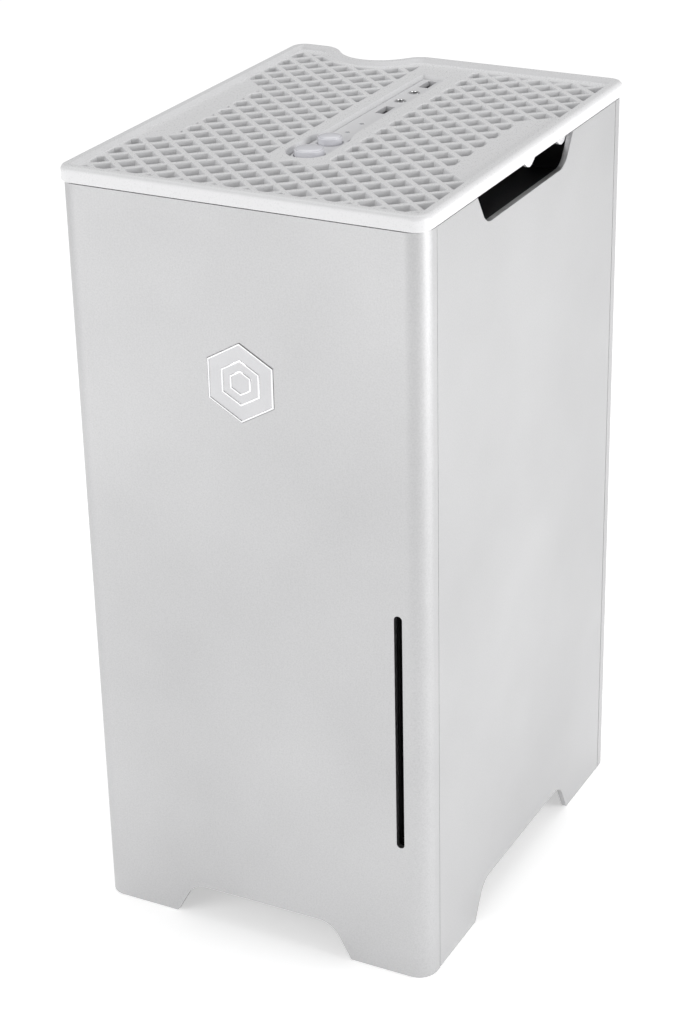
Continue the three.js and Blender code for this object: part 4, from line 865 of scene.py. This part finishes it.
def usb_socket(number, y):
    """A folded metal shell with a tongue and four contacts."""
    low, high = span(f"usb_socket_{number}")
    wall = USB_WALL
    shell = block(low, high)
    inside_low = (low.x + wall, low.y + wall, low.z + 2)
    combine(shell, block(inside_low, (high.x - wall, high.y - wall, high.z + 1)))
    node = f"usb_socket_{number}"
    finish(shell, f"usb_shell_{number}", "chassis", bright_chrome, [node], edge=0.1)
    floor_low = (low.x + wall + 0.05, low.y + wall + 0.05, low.z + 2.05)
    floor_high = (high.x - wall - 0.05, high.y - wall - 0.05, high.z - 3)
    socket_floor = block(floor_low, floor_high)
    finish(socket_floor, f"usb_floor_{number}", "chassis", black_moulding, edge=0.1)
    tongue_low = (low.x + wall + 0.35, y - 5.6, high.z - 3.2)
    tongue_high = (low.x + wall + 2.15, y + 5.6, high.z - 0.6)
    tongue = block(tongue_low, tongue_high)
    finish(tongue, f"usb_tongue_{number}", "chassis", dark_tongue, edge=0.2)
    strips = None
    for across in (-3.5, -1, 1, 3.5):
        strip = block(
            (tongue_high[0] - 0.1, y + across - 0.5, high.z - 3.1),
            (tongue_high[0] + 0.12, y + across + 0.5, high.z - 1.4),
        )
        strips = combine(strips, strip, how="UNION") if strips else strip
    finish(strips, f"usb_contacts_{number}", "chassis", gold_contacts, edge=0.04)


for number, socket_y in enumerate(USB_Y, 1):
    usb_socket(number, socket_y)


def jack(name, y):
    """A turned sleeve with a rounded lip and a dark bore."""
    low, high = span(name)
    profile = [
        (0, low.z), (2.9, low.z), (2.9, high.z - 0.25), (2.65, high.z), (2.1, high.z),
        (1.75, high.z - 0.3), (1.75, low.z + 2), (0, low.z + 2),
    ]
    sleeve = turned(profile, (0, y, 0), 40)
    finish(sleeve, f"{name}_sleeve", "chassis", bright_chrome, [name])
    floor = [(0, low.z + 2.05), (1.7, low.z + 2.05), (1.7, high.z - 1.2), (0, high.z - 1.2)]
    finish(turned(floor, (0, y, 0), 24), f"{name}_bore", "chassis", black_moulding)


jack("headphone_jack", JACK_Y[0])
jack("microphone_jack", JACK_Y[1])


def light(name, y):
    """A small clear pipe standing just under its hole."""
    low, high = span(name)
    profile = [(0, low.z), (0.8, low.z), (0.8, high.z - 0.5), (0.6, high.z - 0.2), (0, high.z - 0.1)]
    finish(turned(profile, (0, y, 0), 20), f"{name}_pipe", "chassis", clear_pipe, [name])


light("power_light", LIGHT_Y[0])
light("drive_light", LIGHT_Y[1])

# ------------------------------------------------------------------ grip cups


def grip_cup(name, side):
    """The black hollow behind a hand grip, with its moulding seam."""
    wall = 1.6
    front = GRIP_Y - GRIP_LENGTH / 2
    rear = GRIP_Y + GRIP_LENGTH / 2
    outer = side * cup_high.x
    inner = side * (cup_low.x + wall)

    def hollowed(margin, past):
        outline = [
            (outer + side * past, front - margin, 0),
            (outer + side * past, rear + margin, 0),
            (inner - side * margin, rear + margin, 9 + margin),
            (inner - side * margin, front - margin, 9 + margin),
        ]
        return outline[::side]

    floor = cup_low.z + wall
    cup = shape(block_out(hollowed(wall, 0), cup_low.z, [(0, cup_high.z - cup_low.z)]))
    combine(cup, shape(block_out(hollowed(0, 1), floor, [(0, 40)])))
    low, high = sorted((inner - side * 0.4, inner + side * 2))
    combine(cup, block((low, -28.4, floor - 0.01), (high, -27.8, cup_high.z + 1)))
    finish(cup, f"{name}_hollow", "chassis", black_moulding, [name], edge=0.3)


grip_cup("left_grip_cup", -1)
grip_cup("right_grip_cup", 1)

# ------------------------------------------------------------------ finishes on the CAD nodes

NODE_FINISHES = {
    powder_black: (
        "chassis_front", "chassis_rear", "chassis_floor", "board_tray", "port_tray", "deck",
        "disc_drive_bracket", "drive_bracket",
    ),
    black_moulding: (
        "bottom_fan_frame", "bottom_fan_rotor", "dust_filter", "processor_fan_frame",
        "processor_fan_rotor", "graphics_cooler", "graphics_fan", "mains_inlet", "supply_fan",
        "supply_rocker", "solid_state_drive", "power_switch", "reset_switch", "disc_drive",
    ),
    soft_rubber: (
        "foot_front_left", "foot_front_right", "foot_rear_left", "foot_rear_right", "supply_lead",
    ),
    solder_mask: ("port_board", "main_board", "memory_1", "memory_2", "graphics_card"),
    plated_steel: (
        "network_ports", "display_port", "audio_ports", "port_shield", "processor",
        "graphics_bracket", "power_supply",
    ),
    cast_aluminium: ("processor_cooler", "hard_drive"),
}
for coating, names in NODE_FINISHES.items():
    for node_name in names:
        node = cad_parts[node_name]
        node.data.materials.clear()
        node.data.materials.append(coating)

# ------------------------------------------------------------------ floor, light and camera

TABLE_GLOW = 0.5


def floor():
    """A plain white table, evenly lit from below."""
    bm = bmesh.new()
    bmesh.ops.create_grid(bm, x_segments=1, y_segments=1, size=40)
    mesh = bpy.data.meshes.new("floor")
    bm.to_mesh(mesh)
    bm.free()
    ground = bpy.data.objects.new("floor", mesh)
    scene.collection.objects.link(ground)
    paper = grained("white_table", ((0.88, 0.88, 0.88), (0.90, 0.90, 0.90)), 3, (0.7, 0.8), 60, 0.0)
    shader = paper.node_tree.nodes["Principled BSDF"]
    shader.inputs["Emission Color"].default_value = (1, 1, 1, 1)
    shader.inputs["Emission Strength"].default_value = TABLE_GLOW
    mesh.materials.append(paper)


def soft_light(name, place, aim, width, height, power):
    """A wide lamp at a place, turned towards its aim."""
    lamp = bpy.data.lights.new(name, "AREA")
    lamp.shape = "RECTANGLE"
    lamp.size = width
    lamp.size_y = height
    lamp.energy = power
    lamp_object = bpy.data.objects.new(name, lamp)
    lamp_object.location = place
    lamp_object.rotation_euler = (Vector(aim) - Vector(place)).to_track_quat("-Z", "Y").to_euler()
    scene.collection.objects.link(lamp_object)


def camera():
    """The camera that the scene is seen through."""
    lens = bpy.data.cameras.new("camera")
    lens.lens = 86.3
    lens.sensor_width = 36
    eye = bpy.data.objects.new("camera", lens)
    turn = Matrix.Rotation(radians(27.708), 4, "Z")
    tilt = Matrix.Rotation(radians(90 - 25.510), 4, "X")
    roll = Matrix.Rotation(radians(-1.3205), 4, "Z")
    eye.matrix_world = Matrix.Translation((0.5228, -1.0185, 0.7349)) @ turn @ tilt @ roll
    scene.collection.objects.link(eye)
    scene.camera = eye


floor()
soft_light("overhead", (-0.2, 0.9, 2.2), (0, 0.6, 0), 2.6, 2.0, 20.5)
soft_light("right_key", (1.5, 0.1, 0.6), (0, 0, 0.35), 0.9, 0.9, 11.8)
soft_light("left_fill", (-1.0, -1.7, 0.9), (-0.3, -0.6, 0.25), 1.4, 1.2, 13)
camera()

world = bpy.data.worlds.new("studio")
scene.world = world
world.use_nodes = True
world.node_tree.nodes["Background"].inputs["Color"].default_value = (1, 1, 1, 1)
world.node_tree.nodes["Background"].inputs["Strength"].default_value = 0.35
scene.view_settings.view_transform = "Standard"
scene.view_settings.look = "None"
